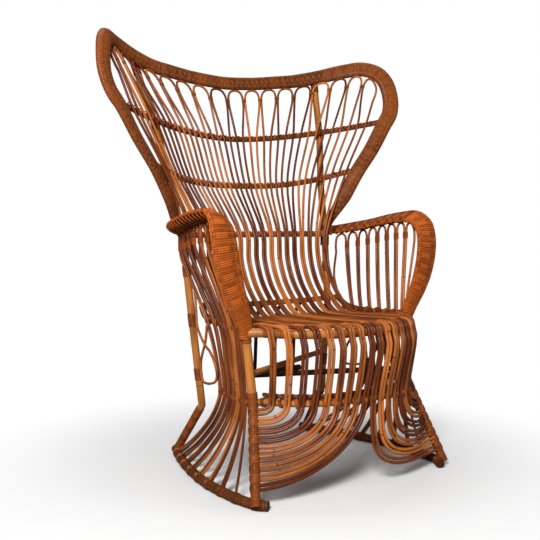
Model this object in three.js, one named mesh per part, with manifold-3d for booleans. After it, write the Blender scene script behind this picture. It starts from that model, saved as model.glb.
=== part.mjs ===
// A peacock armchair of bent rattan: a wide winged back of cane loops that run on over the seat and
// down the front skirt, wrapped arms over side loops, and two bowed runners. Millimetres, +Z up,
// the sitter faces -Y. Places are measured from the front legs at the seat, and the whole chair is
// moved at the end so that its origin is the middle of its footprint, on the floor.
import * as THREE from "three";
import { mergeVertices } from "three/addons/utils/BufferGeometryUtils.js";
import Module from "manifold-3d";

const wasm = await Module();
wasm.setup();

// Poles, canes and clearances
const CLEARANCE = 0.4;
const FRONT_POLE_RADIUS = 11;
const FOOT_POLE_RADIUS = 9.5;
const REAR_POLE_RADIUS = 10;
const RUNNER_RADIUS = 13;
const SEAT_RAIL_RADIUS = 11;
const SIDE_RAIL_RADIUS = 8.5;
const WAIST_RAIL_RADIUS = 8.5;
const BRACE_RADIUS = 7.5;
const UPRIGHT_RADIUS = 5;
const BAND_WIDTH = 17;
const BAND_THICKNESS = 7;
const BAND_GAP = 2.2;
const HOOD_CANE_RADIUS = 3.4;
const BACK_CANE_RADIUS = 3.7;
const SEAT_CANE_RADIUS = 4.2;
const SIDE_CANE_RADIUS = 3.3;
const POLE_SIDES = 8;
const CANE_SIDES = 5;
const RIM_STEPS = 40;
const BAND_STEPS = 14;
const RAIL_STEPS = 14;
const RUNNER_STEPS = 14;
const CORNER_STEPS = 4;
const CURVE_DIVISIONS = 800;
const ARM_STEPS = 60;

// The seat and what stands under it
const SEAT_HALF_WIDTH = 257;
const SEAT_DEPTH = 297;
const SEAT_HEIGHT = 397;
const SEAT_REAR_HEIGHT = 387;
const SEAT_ARC_HALF_WIDTH = 240;
const WAIST_ARC_HALF_WIDTH = 234;
const SEAT_BOW = 142;
const SEAT_RAIL_HEIGHT = 384;
const SIDE_RAIL_HEIGHT = 394;
const WAIST_HEIGHT = 222;
const WAIST_HALF_WIDTH = 248;
const WAIST_ADVANCE = 15;
const WAIST_ARC_START = 4;
const WAIST_BOW = 123;
const POST_HALF_WIDTH = 231;
const WAIST_REAR_HALF_WIDTH = 211;
const WAIST_REAR_DEPTH = 294;
const KINK_HEIGHT = 155;
const KINK_HALF_WIDTH = 205;
const KINK_DEPTH = 290;
const BRACE_FRONT_HEIGHT = 288;
const BRACE_REAR_HEIGHT = 262;
const BRACE_HEIGHT = 252;
const REAR_RAIL_HALF_WIDTH = 124;
const SKIRT_BULGE = 6;
const SKIRT_BULGE_HEIGHT = 352;
const LIP_NARROWING = 7;
const WAIST_NARROWING = 6;

// The runners on the floor
const RUNNER_HALF_WIDTH = 306;
const RUNNER_FRONT = 114;
const RUNNER_REAR = 412;
const FOOT_OUTSET = 13;
const FOOT_ADVANCE = 6;

// The arms
const ARM_HEIGHT = 656;
const ARM_SPREAD = 318;
const ARM_DEPTH = 322;
const ARM_WIDTH = 63;
const ARM_THICKNESS = 20;
const ARM_BASE_HEIGHT = 372;
const ARM_RISE_SHARE = 0.4;

// The hood
const HOOD_HALF_WIDTH = 472;
const HOOD_HEIGHT = 1112;
const HOOD_REACH = 500;
const RIM_WIDTH = 39;
const RIM_WING_WIDTH = 48;
const RIM_END_WIDTH = 18;
const RIM_END_HEIGHT = 630;
const RIM_TAPER_HEIGHT = 90;
const RIM_THICKNESS = 20;
const HOOD_LEAN_SHARE = 0.35;
const HOOD_TILT_SHARE = 0.0165;
const HOOD_TILT_RISE = 130;

// The crosswise rows that every back cane passes: height and reach at the middle, then how much the
// row rises, how much it comes forward, and how far out it runs, at its ends, and how the canes lean.
// The rows of the hood are shares of its size.
const hoodRow = (share) => ({
  height: share.height * HOOD_HEIGHT,
  rise: share.rise * HOOD_HEIGHT,
  reach: share.reach * HOOD_REACH,
  drop: share.drop * HOOD_REACH,
  half: share.half * HOOD_HALF_WIDTH,
  leanShare: share.lean,
  powerShare: share.power,
});
const UPPER_ROW_SHARE = {
  height: 0.7975, rise: 0.0505, reach: 0.906, drop: 0.332, half: 0.9, lean: 0.32, power: 1.75,
};
const MIDDLE_ROW_SHARE = {
  height: 0.6735, rise: 0.0405, reach: 0.81, drop: 0.214, half: 0.674, lean: 0.48, power: 2.6,
};
const UPPER_ROW = hoodRow(UPPER_ROW_SHARE);
const MIDDLE_ROW = hoodRow(MIDDLE_ROW_SHARE);
const ARM_ROW = {
  height: 609, rise: 0, reach: 318, drop: 18, half: 240, leanShare: 0.25, powerShare: 2.5,
};
const SEAT_ROW = {
  height: 427, rise: 6, reach: 244, drop: 8, half: 228, leanShare: 1, powerShare: 2.5,
};

// The loops of cane
const BACK_LOOPS = 18;
const LOOP_SPAN_SHARE = 0.51;
const LOOP_BIND_DROP = 50;
const UPPER_SPREAD_SHARE = 0.945;
const MIDDLE_SPREAD_SHARE = 1;
const ARM_PAIR_PITCH = 26.6;
const SEAT_PAIR_PITCH = 26;
const LIP_PAIR_PITCH = 27.2;
const WAIST_PAIR_PITCH = 26.3;
const FOOT_PAIR_PITCH = 19.4;
const FIRST_PAIR_HEIGHT = 203;
const SIDE_LOOPS = 8;
const SIDE_LOOP_PITCH = 35.4;
const SIDE_LOOP_START = 37;
const SIDE_BIND_DROP = 42;
const UPRIGHT_PITCH = 66;
const UPRIGHTS = 4;
const UPRIGHT_DEPTH = 276;

// Control points as shares: of the hood's half width, reach and height; of the arm's spread, depth
// and height; of the runner's half width and its reach to the front or rear
const RIM_SHARES = [
  [0, 0.996, 0.946], [0.13, 0.999, 0.949], [0.26, 0.998, 0.954], [0.39, 0.986, 0.961],
  [0.51, 0.966, 0.967], [0.665, 0.904, 0.98], [0.815, 0.82, 0.996], [0.9, 0.74, 1],
  [0.96, 0.665, 0.986], [0.99, 0.615, 0.958], [1, 0.58, 0.91], [0.975, 0.562, 0.87],
  [0.92, 0.56, 0.836], [0.827, 0.57, 0.771], [0.712, 0.59, 0.702], [0.62, 0.612, 0.636],
  [0.558, 0.652, 0.583], [0.541, 0.656, 0.566],
];
const ARM_SHARES = [
  [0.808, 0, 0.567], [0.82, -0.008, 0.6], [0.852, -0.02, 0.645], [0.905, -0.036, 0.7],
  [0.96, -0.047, 0.77], [0.998, -0.048, 0.845], [1.013, -0.038, 0.908], [1.015, -0.002, 0.961],
  [1.008, 0.065, 0.99], [1, 0.14, 1.002],
  [0.998, 0.25, 1], [0.985, 0.45, 0.988], [0.96, 0.65, 0.97], [0.915, 0.82, 0.957],
  [0.86, 0.93, 0.948], [0.8, 0.985, 0.943],
];
const ARM_LEVEL_SHARE = 0.9;
const ARM_WIDTH_SHARES = [
  0.52, 0.58, 0.7, 0.82, 0.94, 1, 1, 0.97, 0.93, 0.9, 0.88, 0.86, 0.84, 0.8, 0.72, 0.62,
];
const RUNNER_SHARES = [
  [0.895, -1], [0.95, -0.79], [0.985, -0.4], [1, 0.06], [0.99, 0.26], [0.93, 0.51], [0.83, 0.77],
  [0.715, 1],
];
const UPRIGHT_PATH_SHARE = 0.001;
const BOW_POWER_SHARE = 3;
const NARROWING_POWER_SHARE = 4;
const BETWEEN_RAILS_SHARE = 0.75;
const SLAT_SHARES = [0, 0.2, 0.55, 1];
const RAIL_REACH_SHARE = 0.94;
const SKIRT_TOP_SHARE = 0.33;
const SLAT_POWER_SHARE = 1.6;
const UNDER_BIND_SHARE = 0.3;
const CURTAIN_POWER_SHARE = 2.6;
const CURTAIN_SHARES = [0.4, 0.75];
const LIP_SHARES = [1.7, 0.75, 0, -0.6, -0.9];
const SIDE_LOOP_SHARES = [[0.3, 0], [0.82, 0.18], [1, 0.55], [1, 1]];
const LOOP_SHARES = [[0.28, 0], [0.7, 0.12], [0.93, 0.36], [1, 0.58], [1, 1]];
const RIGHT_BRACE_SHARES = [
  [0.989, 1.407, 4.5], [0.986, 1.343, 3.3], [0.986, 1.272, 2.3], [0.965, 1.193, 1.3],
  [0.88, 1.06, 0.7],
];
const LEFT_BRACE_SHARES = [
  [1.002, 1.363, 4], [0.932, 1.299, 2.5], [0.872, 1.242, 1], [0.851, 1.17, 0], [0.819, 1.041, 0],
];
const BRACE_LOOP_SHARES = [
  [0.79, 0.953, 1], [0.723, 0.903, 2], [0.612, 0.845, 3], [0.502, 0.817, 4], [0.442, 0.773, 4],
  [0.407, 0.724, 4], [0.452, 0.666, 2], [0.492, 0.625, 2], [0.589, 0.599, 2], [0.679, 0.588, 2],
  [0.757, 0.593, 2], [0.776, 0.644, 2], [0.759, 0.719, 2], [0.7, 0.791, 2], [0.635, 0.853, 2],
  [0.593, 0.919, 2], [0.568, 0.972, 2],
];
const RIGHT_SIDE = {
  columnShares: [0.034, 0.081, 0.155, 0.242, 0.357, 0.475, 0.59, 0.7],
  braceShares: RIGHT_BRACE_SHARES,
  sweepShares: [2, 4.5],
  freeShares: [[0.28, 0], [0.9, 0.08], [1.45, 0.22], [1.65, 0.56], [1.5, 1.12]],
};
const LEFT_SIDE = {
  columnShares: [0.034, 0.081, 0.141, 0.208, 0.283, 0.364, 0.47, 0.606],
  braceShares: LEFT_BRACE_SHARES,
  sweepShares: [2, 1.8],
  freeShares: [[0.28, 0], [0.6, 0.12], [0.8, 0.36], [0.75, 0.7], [0.5, 1.02]],
};
const SEAT_REAR_SHARES = [[0.65, 0.4], [1.3, 0.07], [2.4, 0]];
const POST_LOOP_SHARE = 5.2;
const POST_ROW_SHARES = [[UPPER_ROW, 0.635], [MIDDLE_ROW, 0.78], [ARM_ROW, 0.985]];
const RUNNER_FOOT_SHARE = 0.04;
const RUNNER_HEEL_SHARE = 0.97;
const SIDE_RAIL_SHARE = 0.55;
const SIDE_RAIL_BEND_SHARE = 0.69;
const SIDE_RAIL_TURN_SHARE = 0.3;
const WAIST_RAIL_SHARE = 0.49;
const WAIST_COLUMN_SHARES = [-0.02, 0.027, 0.088, 0.152, 0.222, 0.296, 0.377, 0.465];
const RUNNER_SLAT_SHARES = [0.17, 0.28, 0.39, 0.5, 0.61, 0.72, 0.82, 0.92];
const RIBBON_SHARES = [
  [1, 0.5], [0.8, 1], [-0.8, 1], [-1, 0.5], [-1, -0.5], [-0.8, -1], [0.8, -1], [1, -0.5],
];

const UP = new THREE.Vector3(0, 0, 1);
const RIGHT = new THREE.Vector3(1, 0, 0);
const at = (x, y, z) => new THREE.Vector3(x, y, z);
const mirrored = (p) => at(-p.x, p.y, p.z);
const lerp = (a, b, share) => a + (b - a) * share;

// The direction of a path at each of its points.
function tangents(points) {
  return points.map((p, i) => {
    const before = points[Math.max(i - 1, 0)];
    const after = points[Math.min(i + 1, points.length - 1)];
    return after.clone().sub(before).normalize();
  });
}

// A closed sweep along a path. The section is round, or a flat ribbon whose wide way is `across`.
function sweep(path, grow = 0) {
  const { points, sides = POLE_SIDES, radius, thickness, across } = path;
  const dirs = tangents(points);
  const ends = points.map((p) => p.clone());
  ends[0].addScaledVector(dirs[0], -grow);
  ends[ends.length - 1].addScaledVector(dirs[dirs.length - 1], grow);
  const section = thickness
    ? RIBBON_SHARES
    : Array.from({ length: sides }, (_, j) => {
        const angle = ((j + 0.5) / sides) * 2 * Math.PI;
        return [Math.cos(angle), Math.sin(angle)];
      });
  const count = section.length;
  const positions = [];
  let side = across ? null : at(dirs[0].y, -dirs[0].x, 0);
  if (side && side.length() < UPRIGHT_PATH_SHARE) side.copy(RIGHT);
  ends.forEach((centre, i) => {
    side = across ? across(i).clone() : side.clone();
    side.addScaledVector(dirs[i], -side.dot(dirs[i])).normalize();
    const over = dirs[i].clone().cross(side);
    const wide = (Array.isArray(radius) ? radius[i] : radius) + grow;
    const high = thickness ? thickness / 2 + grow : wide;
    section.forEach(([u, v]) => {
      const p = centre.clone().addScaledVector(side, u * wide).addScaledVector(over, v * high);
      positions.push(p.x, p.y, p.z);
    });
  });
  const faces = [];
  for (let i = 0; i + 1 < points.length; i++)
    for (let j = 0; j < count; j++) {
      const a = i * count + j;
      const b = i * count + ((j + 1) % count);
      faces.push(a, b, b + count, a, b + count, a + count);
    }
  const last = (points.length - 1) * count;
  for (let j = 1; j + 1 < count; j++)
    faces.push(0, j + 1, j, last, last + j, last + j + 1);
  const geometry = new THREE.BufferGeometry();
  geometry.setAttribute("position", new THREE.Float32BufferAttribute(positions, 3));
  geometry.setIndex(faces);
  return geometry;
}

function solidOf(geometry) {
  const bare = geometry.clone();
  bare.deleteAttribute("normal");
  bare.deleteAttribute("uv");
  const merged = mergeVertices(bare);
  const mesh = new wasm.Mesh({
    numProp: 3,
    vertProperties: merged.attributes.position.array,
    triVerts: new Uint32Array(merged.index.array),
  });
  return new wasm.Manifold(mesh);
}

function geometryOf(solid) {
  const mesh = solid.getMesh();
  const geometry = new THREE.BufferGeometry();
  geometry.setAttribute("position", new THREE.BufferAttribute(mesh.vertProperties, mesh.numProp));
  geometry.setIndex(new THREE.BufferAttribute(mesh.triVerts, 1));
  return geometry;
}

// A sweep, with what is joined on to it, cut back to clear the pieces that it meets. What a cut
// leaves beyond them is dropped.
function fitted(path, joined, ...neighbours) {
  let body = solidOf(sweep(path));
  for (const other of joined) body = body.add(solidOf(sweep(other)));
  for (const neighbour of neighbours) {
    const cutter = solidOf(sweep(neighbour, CLEARANCE));
    if (body.intersect(cutter).volume() > 0) body = body.subtract(cutter);
  }
  const pieces = body.decompose().sort((a, b) => b.volume() - a.volume());
  return geometryOf(pieces[0]);
}

const mirrorPath = (path) => ({
  ...path,
  points: path.points.map(mirrored),
  across: path.across && ((i) => mirrored(path.across(i))),
});

// A point of a crosswise row, and the way square to the back there, away from the sitter.
function rowPoint(row, x) {
  const share = Math.abs(x / row.half) ** row.powerShare;
  return at(x, row.reach - row.drop * share, row.height + row.rise * share);
}
function rowNormal(row, x) {
  const share = Math.abs(x / row.half) ** (row.powerShare - 1);
  const slope = ((row.powerShare * row.drop) / row.half) * share * Math.sign(x);
  return at(slope, 1, -row.leanShare).normalize();
}
const behindRow = (row, x, distance) => rowPoint(row, x).addScaledVector(rowNormal(row, x), distance);

// Rim of the hood, from the left arm over the back to the right arm
const rimHalf = RIM_SHARES.map(([x, y, z]) => at(x * HOOD_HALF_WIDTH, y * HOOD_REACH, z * HOOD_HEIGHT));
const rimPoints = [...rimHalf.slice(1).reverse().map(mirrored), ...rimHalf];
const rimCurve = new THREE.CatmullRomCurve3(rimPoints, false, "centripetal");
rimCurve.arcLengthDivisions = CURVE_DIVISIONS;
const rimLength = rimCurve.getLength();
const LOOP_PITCH = (rimLength * LOOP_SPAN_SHARE) / BACK_LOOPS;
const UPPER_PAIR_PITCH = (2 * UPPER_ROW.half * UPPER_SPREAD_SHARE) / BACK_LOOPS;
const MIDDLE_PAIR_PITCH = (2 * MIDDLE_ROW.half * MIDDLE_SPREAD_SHARE) / BACK_LOOPS;

// The way square to the face of the hood at a place on the rim, away from the sitter. Between two
// rows it turns from the lower row's end to the upper one's.
function rimNormal(point) {
  const rows = [ARM_ROW, MIDDLE_ROW, UPPER_ROW];
  const ends = rows.map((row) => row.height + row.rise);
  const top = { ...UPPER_ROW, half: HOOD_HALF_WIDTH, leanShare: HOOD_LEAN_SHARE };
  const k = point.z < ends[1] ? 0 : 1;
  const share = THREE.MathUtils.clamp((point.z - ends[k]) / (ends[k + 1] - ends[k]), 0, 1);
  const endNormal = (row) => rowNormal(row, Math.sign(point.x) * row.half);
  const side = endNormal(rows[k]).lerp(endNormal(rows[k + 1]), share);
  return point.z < ends[2] ? side.normalize() : rowNormal(top, point.x);
}
const rimInward = (point, direction) => rimNormal(point).cross(direction).normalize();
function rimHalfWidth(point) {
  const full = lerp(RIM_WIDTH, RIM_WING_WIDTH, (point.x / HOOD_HALF_WIDTH) ** 2);
  const share = Math.min(Math.max((point.z - RIM_END_HEIGHT) / RIM_TAPER_HEIGHT, 0), 1);
  return lerp(RIM_END_WIDTH, full, share) / 2;
}
const rim = { points: rimCurve.getSpacedPoints(RIM_STEPS), thickness: RIM_THICKNESS };
rim.radius = rim.points.map(rimHalfWidth);
const rimDirs = tangents(rim.points);
rim.across = (i) => rimInward(rim.points[i], rimDirs[i]);

// The face that the canes make between the rim and the upper row, at a signed distance along the rim
// from its middle: the rim's place, the way square to the face, the rim's inner edge and the way down.
function hoodFace(along) {
  const share = 0.5 + along / rimLength;
  const point = rimCurve.getPointAt(share);
  const direction = rimCurve.getTangentAt(share);
  const down = rowPoint(UPPER_ROW, (along / LOOP_PITCH) * UPPER_PAIR_PITCH).sub(point);
  const normal = direction.clone().cross(down).normalize();
  const edge = point.clone().addScaledVector(normal.clone().cross(direction), rimHalfWidth(point));
  return { point, normal, edge, down: down.normalize() };
}
function underRim(along, below) {
  const { edge, down } = hoodFace(along);
  return edge.addScaledVector(down, below);
}

// Right-hand poles, rails and arm
const runnerLine = RUNNER_SHARES.map(([x, y]) =>
  at(x * RUNNER_HALF_WIDTH, y < 0 ? y * RUNNER_FRONT : y * RUNNER_REAR, 0));
const runnerHeight = RUNNER_RADIUS * Math.cos(Math.PI / POLE_SIDES);
runnerLine.forEach((p) => p.setZ(runnerHeight));
const runnerCurve = new THREE.CatmullRomCurve3(runnerLine, false, "centripetal");
const runner = { points: runnerCurve.getPoints(RUNNER_STEPS), radius: RUNNER_RADIUS, across: null };
const runnerDirs = tangents(runner.points);
runner.across = (i) => runnerDirs[i].clone().cross(UP);

const foot = runnerCurve.getPointAt(RUNNER_FOOT_SHARE).add(at(FOOT_OUTSET, -FOOT_ADVANCE, 0));
const heel = runnerCurve.getPointAt(RUNNER_HEEL_SHARE);
const waistCorner = at(WAIST_HALF_WIDTH, -WAIST_ADVANCE, WAIST_HEIGHT);
const legShare = (z) => (z - foot.z) / (WAIST_HEIGHT - foot.z);
const legAt = (z) => z < WAIST_HEIGHT
  ? foot.clone().lerp(waistCorner, legShare(z))
  : waistCorner.clone().lerp(
      at(SEAT_HALF_WIDTH, 0, ARM_BASE_HEIGHT),
      (z - WAIST_HEIGHT) / (ARM_BASE_HEIGHT - WAIST_HEIGHT));
const frontLeg = {
  points: [ARM_BASE_HEIGHT, WAIST_HEIGHT + FRONT_POLE_RADIUS, WAIST_HEIGHT - FRONT_POLE_RADIUS, foot.z]
    .map(legAt),
  radius: [FRONT_POLE_RADIUS, FRONT_POLE_RADIUS, FOOT_POLE_RADIUS, FOOT_POLE_RADIUS],
};

const postGap = HOOD_CANE_RADIUS + BAND_THICKNESS + 2 * BAND_GAP + REAR_POLE_RADIUS;
const postFace = hoodFace(POST_LOOP_SHARE * LOOP_PITCH);
const postTop = postFace.point.addScaledVector(
  postFace.normal, HOOD_CANE_RADIUS + REAR_POLE_RADIUS + 2 * CLEARANCE);
const rearPost = {
  points: [
    postTop,
    ...POST_ROW_SHARES.map(([row, share]) => behindRow(row, share * row.half, postGap)),
    at(POST_HALF_WIDTH, SEAT_DEPTH, SIDE_RAIL_HEIGHT),
    at(WAIST_REAR_HALF_WIDTH, WAIST_REAR_DEPTH, WAIST_HEIGHT),
    at(KINK_HALF_WIDTH, KINK_DEPTH, KINK_HEIGHT),
    heel,
  ],
  radius: REAR_POLE_RADIUS,
};
const kneeAt = (z) => {
  const [, , , , seat, waist] = rearPost.points;
  return waist.clone().lerp(seat, (z - waist.z) / (seat.z - waist.z));
};

const armPoints = ARM_SHARES.map(([x, y, z]) => at(x * ARM_SPREAD, y * ARM_DEPTH, z * ARM_HEIGHT));
armPoints[0] = at(SEAT_HALF_WIDTH, 0, ARM_BASE_HEIGHT + CLEARANCE);
const armDirs = tangents(armPoints);
const arm = {
  points: armPoints,
  radius: ARM_WIDTH_SHARES.map((share) => (share * ARM_WIDTH) / 2),
  thickness: ARM_THICKNESS,
  across: (i) => at(1, 0, ARM_RISE_SHARE * Math.max(armDirs[i].y, 0)),
};
const armCurve = new THREE.CatmullRomCurve3(armPoints, false, "centripetal");

// Front rails bow forward between the front legs.
const SEAT_ARC = { half: SEAT_ARC_HALF_WIDTH, start: 0, bow: SEAT_BOW };
const WAIST_ARC = { half: WAIST_ARC_HALF_WIDTH, start: WAIST_ARC_START, bow: WAIST_BOW };
const bowAt = (arc, x) => -arc.start - arc.bow * (1 - Math.abs(x / arc.half) ** BOW_POWER_SHARE);
const bowSlope = (arc, x) =>
  ((BOW_POWER_SHARE * arc.bow) / arc.half) * Math.abs(x / arc.half) ** (BOW_POWER_SHARE - 1);
// How far forward a cane stands so that it clears a bowed rail that it passes.
const beforeRail = (arc, x, distance) => bowAt(arc, x) - distance * Math.hypot(1, bowSlope(arc, x));
// The place across of a strand that lies beside another one along a bowed rail. Towards the ends the
// pairs stand closer.
function alongRail(arc, place, narrowing, beside) {
  const x = place - narrowing * (place / arc.half) ** NARROWING_POWER_SHARE;
  return x + beside / Math.hypot(1, bowSlope(arc, x));
}
function bowedRail(arc, height, radius) {
  const points = Array.from({ length: RAIL_STEPS + 1 }, (_, i) => {
    const x = -RAIL_REACH_SHARE * arc.half * Math.cos((i / RAIL_STEPS) * Math.PI);
    return at(x, bowAt(arc, x), height);
  });
  points.unshift(mirrored(legAt(height)));
  points.push(legAt(height));
  return { points, radius, across: () => UP };
}
const seatFrontRail = bowedRail(SEAT_ARC, SEAT_RAIL_HEIGHT, SEAT_RAIL_RADIUS);
const waistFrontRail = bowedRail(WAIST_ARC, WAIST_HEIGHT, WAIST_RAIL_RADIUS);
const level = (points, radius) => ({ points, radius, across: () => UP });
const seatLine = level([legAt(SIDE_RAIL_HEIGHT), kneeAt(SIDE_RAIL_HEIGHT)], SIDE_RAIL_RADIUS);
const waistLine = level([waistCorner, kneeAt(WAIST_HEIGHT)], WAIST_RAIL_RADIUS);
const onLine = (line, share) => line.points[0].clone().lerp(line.points[1], share);
const seatCorner = behindRow(
  SEAT_ROW, SEAT_ROW.half, BACK_CANE_RADIUS + SIDE_RAIL_RADIUS + BAND_GAP);
const seatSideRail = level(
  [seatLine.points[0], onLine(seatLine, SIDE_RAIL_SHARE),
    onLine(seatLine, SIDE_RAIL_BEND_SHARE).lerp(seatCorner, SIDE_RAIL_TURN_SHARE), seatCorner],
  SIDE_RAIL_RADIUS);
const waistSideRail = level([waistCorner, onLine(waistLine, WAIST_RAIL_SHARE)], WAIST_RAIL_RADIUS);
const rearRail = level(
  [at(-REAR_RAIL_HALF_WIDTH, WAIST_REAR_DEPTH, WAIST_HEIGHT),
    at(REAR_RAIL_HALF_WIDTH, WAIST_REAR_DEPTH, WAIST_HEIGHT)],
  WAIST_RAIL_RADIUS);
const braceUpper = level(
  [mirrored(legAt(BRACE_FRONT_HEIGHT)), kneeAt(BRACE_REAR_HEIGHT)], BRACE_RADIUS);
const braceLower = level([legAt(BRACE_HEIGHT), rearRail.points[0]], BRACE_RADIUS);

// Bands of the back: a flat woven strip behind the canes at each row.
function bandPath(row, canes) {
  const places = Array.from(
    { length: BAND_STEPS + 1 }, (_, i) => lerp(-row.half, row.half, i / BAND_STEPS));
  const distance = canes + BAND_THICKNESS / 2 + BAND_GAP;
  const upright = at(0, row.leanShare, 1);
  return {
    points: places.map((x) => behindRow(row, x, distance)),
    radius: BAND_WIDTH / 2,
    thickness: BAND_THICKNESS,
    across: () => upright,
  };
}
const upperBand = bandPath(UPPER_ROW, HOOD_CANE_RADIUS);
const middleBand = bandPath(MIDDLE_ROW, HOOD_CANE_RADIUS);
const armBand = bandPath(ARM_ROW, BACK_CANE_RADIUS);
const seatBand = bandPath(SEAT_ROW, BACK_CANE_RADIUS);

// Thin uprights behind the seat, from the rear rail at the waist up to the rail behind the seat.
function upright(i) {
  const x = (i - (UPRIGHTS - 1) / 2) * UPRIGHT_PITCH;
  const behind = BACK_CANE_RADIUS + BAND_THICKNESS + BAND_GAP + UPRIGHT_RADIUS + CLEARANCE;
  const top = behindRow(SEAT_ROW, x, behind);
  const bottom = at(x, WAIST_REAR_DEPTH, WAIST_HEIGHT);
  const middle = at(x, UPRIGHT_DEPTH, SIDE_RAIL_HEIGHT);
  return { points: [top, middle, bottom], radius: UPRIGHT_RADIUS, sides: CANE_SIDES };
}
const uprights = Array.from({ length: UPRIGHTS }, (_, i) => upright(i));

// One strand of a back loop, from the top of its loop to the front leg. `pair` counts loops from
// the middle in steps of one, starting at a half, and `side` is the strand's side of its loop.
function backStrand(pair, side, { sweepShares, freeShares }) {
  const inner = HOOD_CANE_RADIUS + CLEARANCE;
  const strand = pair + side / 4;
  const along = (share) => pair * LOOP_PITCH + side * (LOOP_PITCH / 2) * share;
  const edge = (pair + side / 2) * LOOP_PITCH;
  const near = inner / LOOP_PITCH;
  const bindLeft = underRim(edge - inner, LOOP_BIND_DROP);
  const spread = bindLeft.distanceTo(underRim(edge + inner, LOOP_BIND_DROP));
  const bound = 1 - (4 * near * inner) / spread;
  const free = pair + side / 2 === BACK_LOOPS / 2;
  const upper = rowPoint(UPPER_ROW, strand * UPPER_PAIR_PITCH);
  const points = (free ? freeShares : LOOP_SHARES).map(([share, depth]) =>
    underRim(along(share * bound), inner + depth * LOOP_BIND_DROP));
  points.push(points.at(-1).clone().lerp(upper, UNDER_BIND_SHARE), upper);
  points.push(rowPoint(MIDDLE_ROW, strand * MIDDLE_PAIR_PITCH));
  const radii = points.map(() => HOOD_CANE_RADIUS);
  const beside = (radius) => side * (radius + CLEARANCE);
  const armLevel = rowPoint(ARM_ROW, pair * ARM_PAIR_PITCH + beside(BACK_CANE_RADIUS));
  const low = rowPoint(SEAT_ROW, pair * SEAT_PAIR_PITCH + beside(BACK_CANE_RADIUS));
  points.push(armLevel);
  for (const share of CURTAIN_SHARES) {
    const p = armLevel.clone().lerp(low, share);
    points.push(p.setY(lerp(armLevel.y, low.y, share ** CURTAIN_POWER_SHARE)));
  }
  points.push(low);
  while (radii.length < points.length) radii.push(BACK_CANE_RADIUS);

  const alongLip = (offset) => alongRail(SEAT_ARC, pair * LIP_PAIR_PITCH, LIP_NARROWING, offset);
  const frontX = alongLip(beside(SEAT_CANE_RADIUS));
  const lipX = alongLip(0) + beside(SEAT_CANE_RADIUS);
  const rearX = pair * SEAT_PAIR_PITCH + beside(SEAT_CANE_RADIUS);
  const overRail = SEAT_RAIL_RADIUS + SEAT_CANE_RADIUS + CLEARANCE;
  const drop = low.z - SEAT_REAR_HEIGHT;
  const seat = SEAT_REAR_SHARES.map(([back, up]) =>
    at(rearX, low.y - back * drop, SEAT_REAR_HEIGHT + up * drop));
  const lip = LIP_SHARES.map((turn) => {
    const over = Math.min(turn, 0);
    const x = lerp(lipX, frontX, -over);
    const y = turn > 0 ? bowAt(SEAT_ARC, x) + turn * overRail
      : beforeRail(SEAT_ARC, x, -turn * overRail);
    return at(x, y, SEAT_RAIL_HEIGHT + Math.sqrt(1 - over ** 2) * overRail);
  });
  lip[0].z = Math.min(lip[0].z, SEAT_HEIGHT);
  const frontY = beforeRail(SEAT_ARC, frontX, overRail + SKIRT_BULGE * SKIRT_TOP_SHARE);
  const skirt = [
    at(frontX, frontY, SEAT_RAIL_HEIGHT - SEAT_RAIL_RADIUS),
    at(frontX, frontY - SKIRT_BULGE, SKIRT_BULGE_HEIGHT),
  ];
  points.push(...seat, ...lip, ...skirt);

  const overWaist = WAIST_RAIL_RADIUS + SEAT_CANE_RADIUS + CLEARANCE;
  const waistX = alongRail(
    WAIST_ARC, pair * WAIST_PAIR_PITCH, WAIST_NARROWING, beside(SEAT_CANE_RADIUS));
  const waistY = beforeRail(WAIST_ARC, waistX, overWaist);
  const waist = at(waistX, waistY, WAIST_HEIGHT);
  const nest = BACK_LOOPS / 2 - 0.5 - pair;
  const endZ = FIRST_PAIR_HEIGHT - nest * FOOT_PAIR_PITCH + beside(SEAT_CANE_RADIUS);
  const end = legAt(endZ);
  const power = lerp(...sweepShares, nest / (BACK_LOOPS / 2 - 1));
  for (let i = 0; i <= CORNER_STEPS; i++) {
    const angle = (i / CORNER_STEPS) * (Math.PI / 2);
    const out = 1 - Math.cos(angle) ** (2 / power);
    const down = Math.sin(angle) ** (2 / power);
    points.push(at(
      lerp(waist.x, end.x, out), lerp(end.y, waist.y, 1 - out ** 2), lerp(waist.z, end.z, down)));
  }
  while (radii.length < points.length) radii.push(SEAT_CANE_RADIUS);
  return { points, radii };
}

// A whole back loop: its two strands joined over the top.
function backLoop(pair, half) {
  const left = backStrand(pair, -1, half);
  const right = backStrand(pair, 1, half);
  return {
    points: [...left.points.reverse(), ...right.points],
    radius: [...left.radii.reverse(), ...right.radii],
    sides: CANE_SIDES,
  };
}

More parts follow.
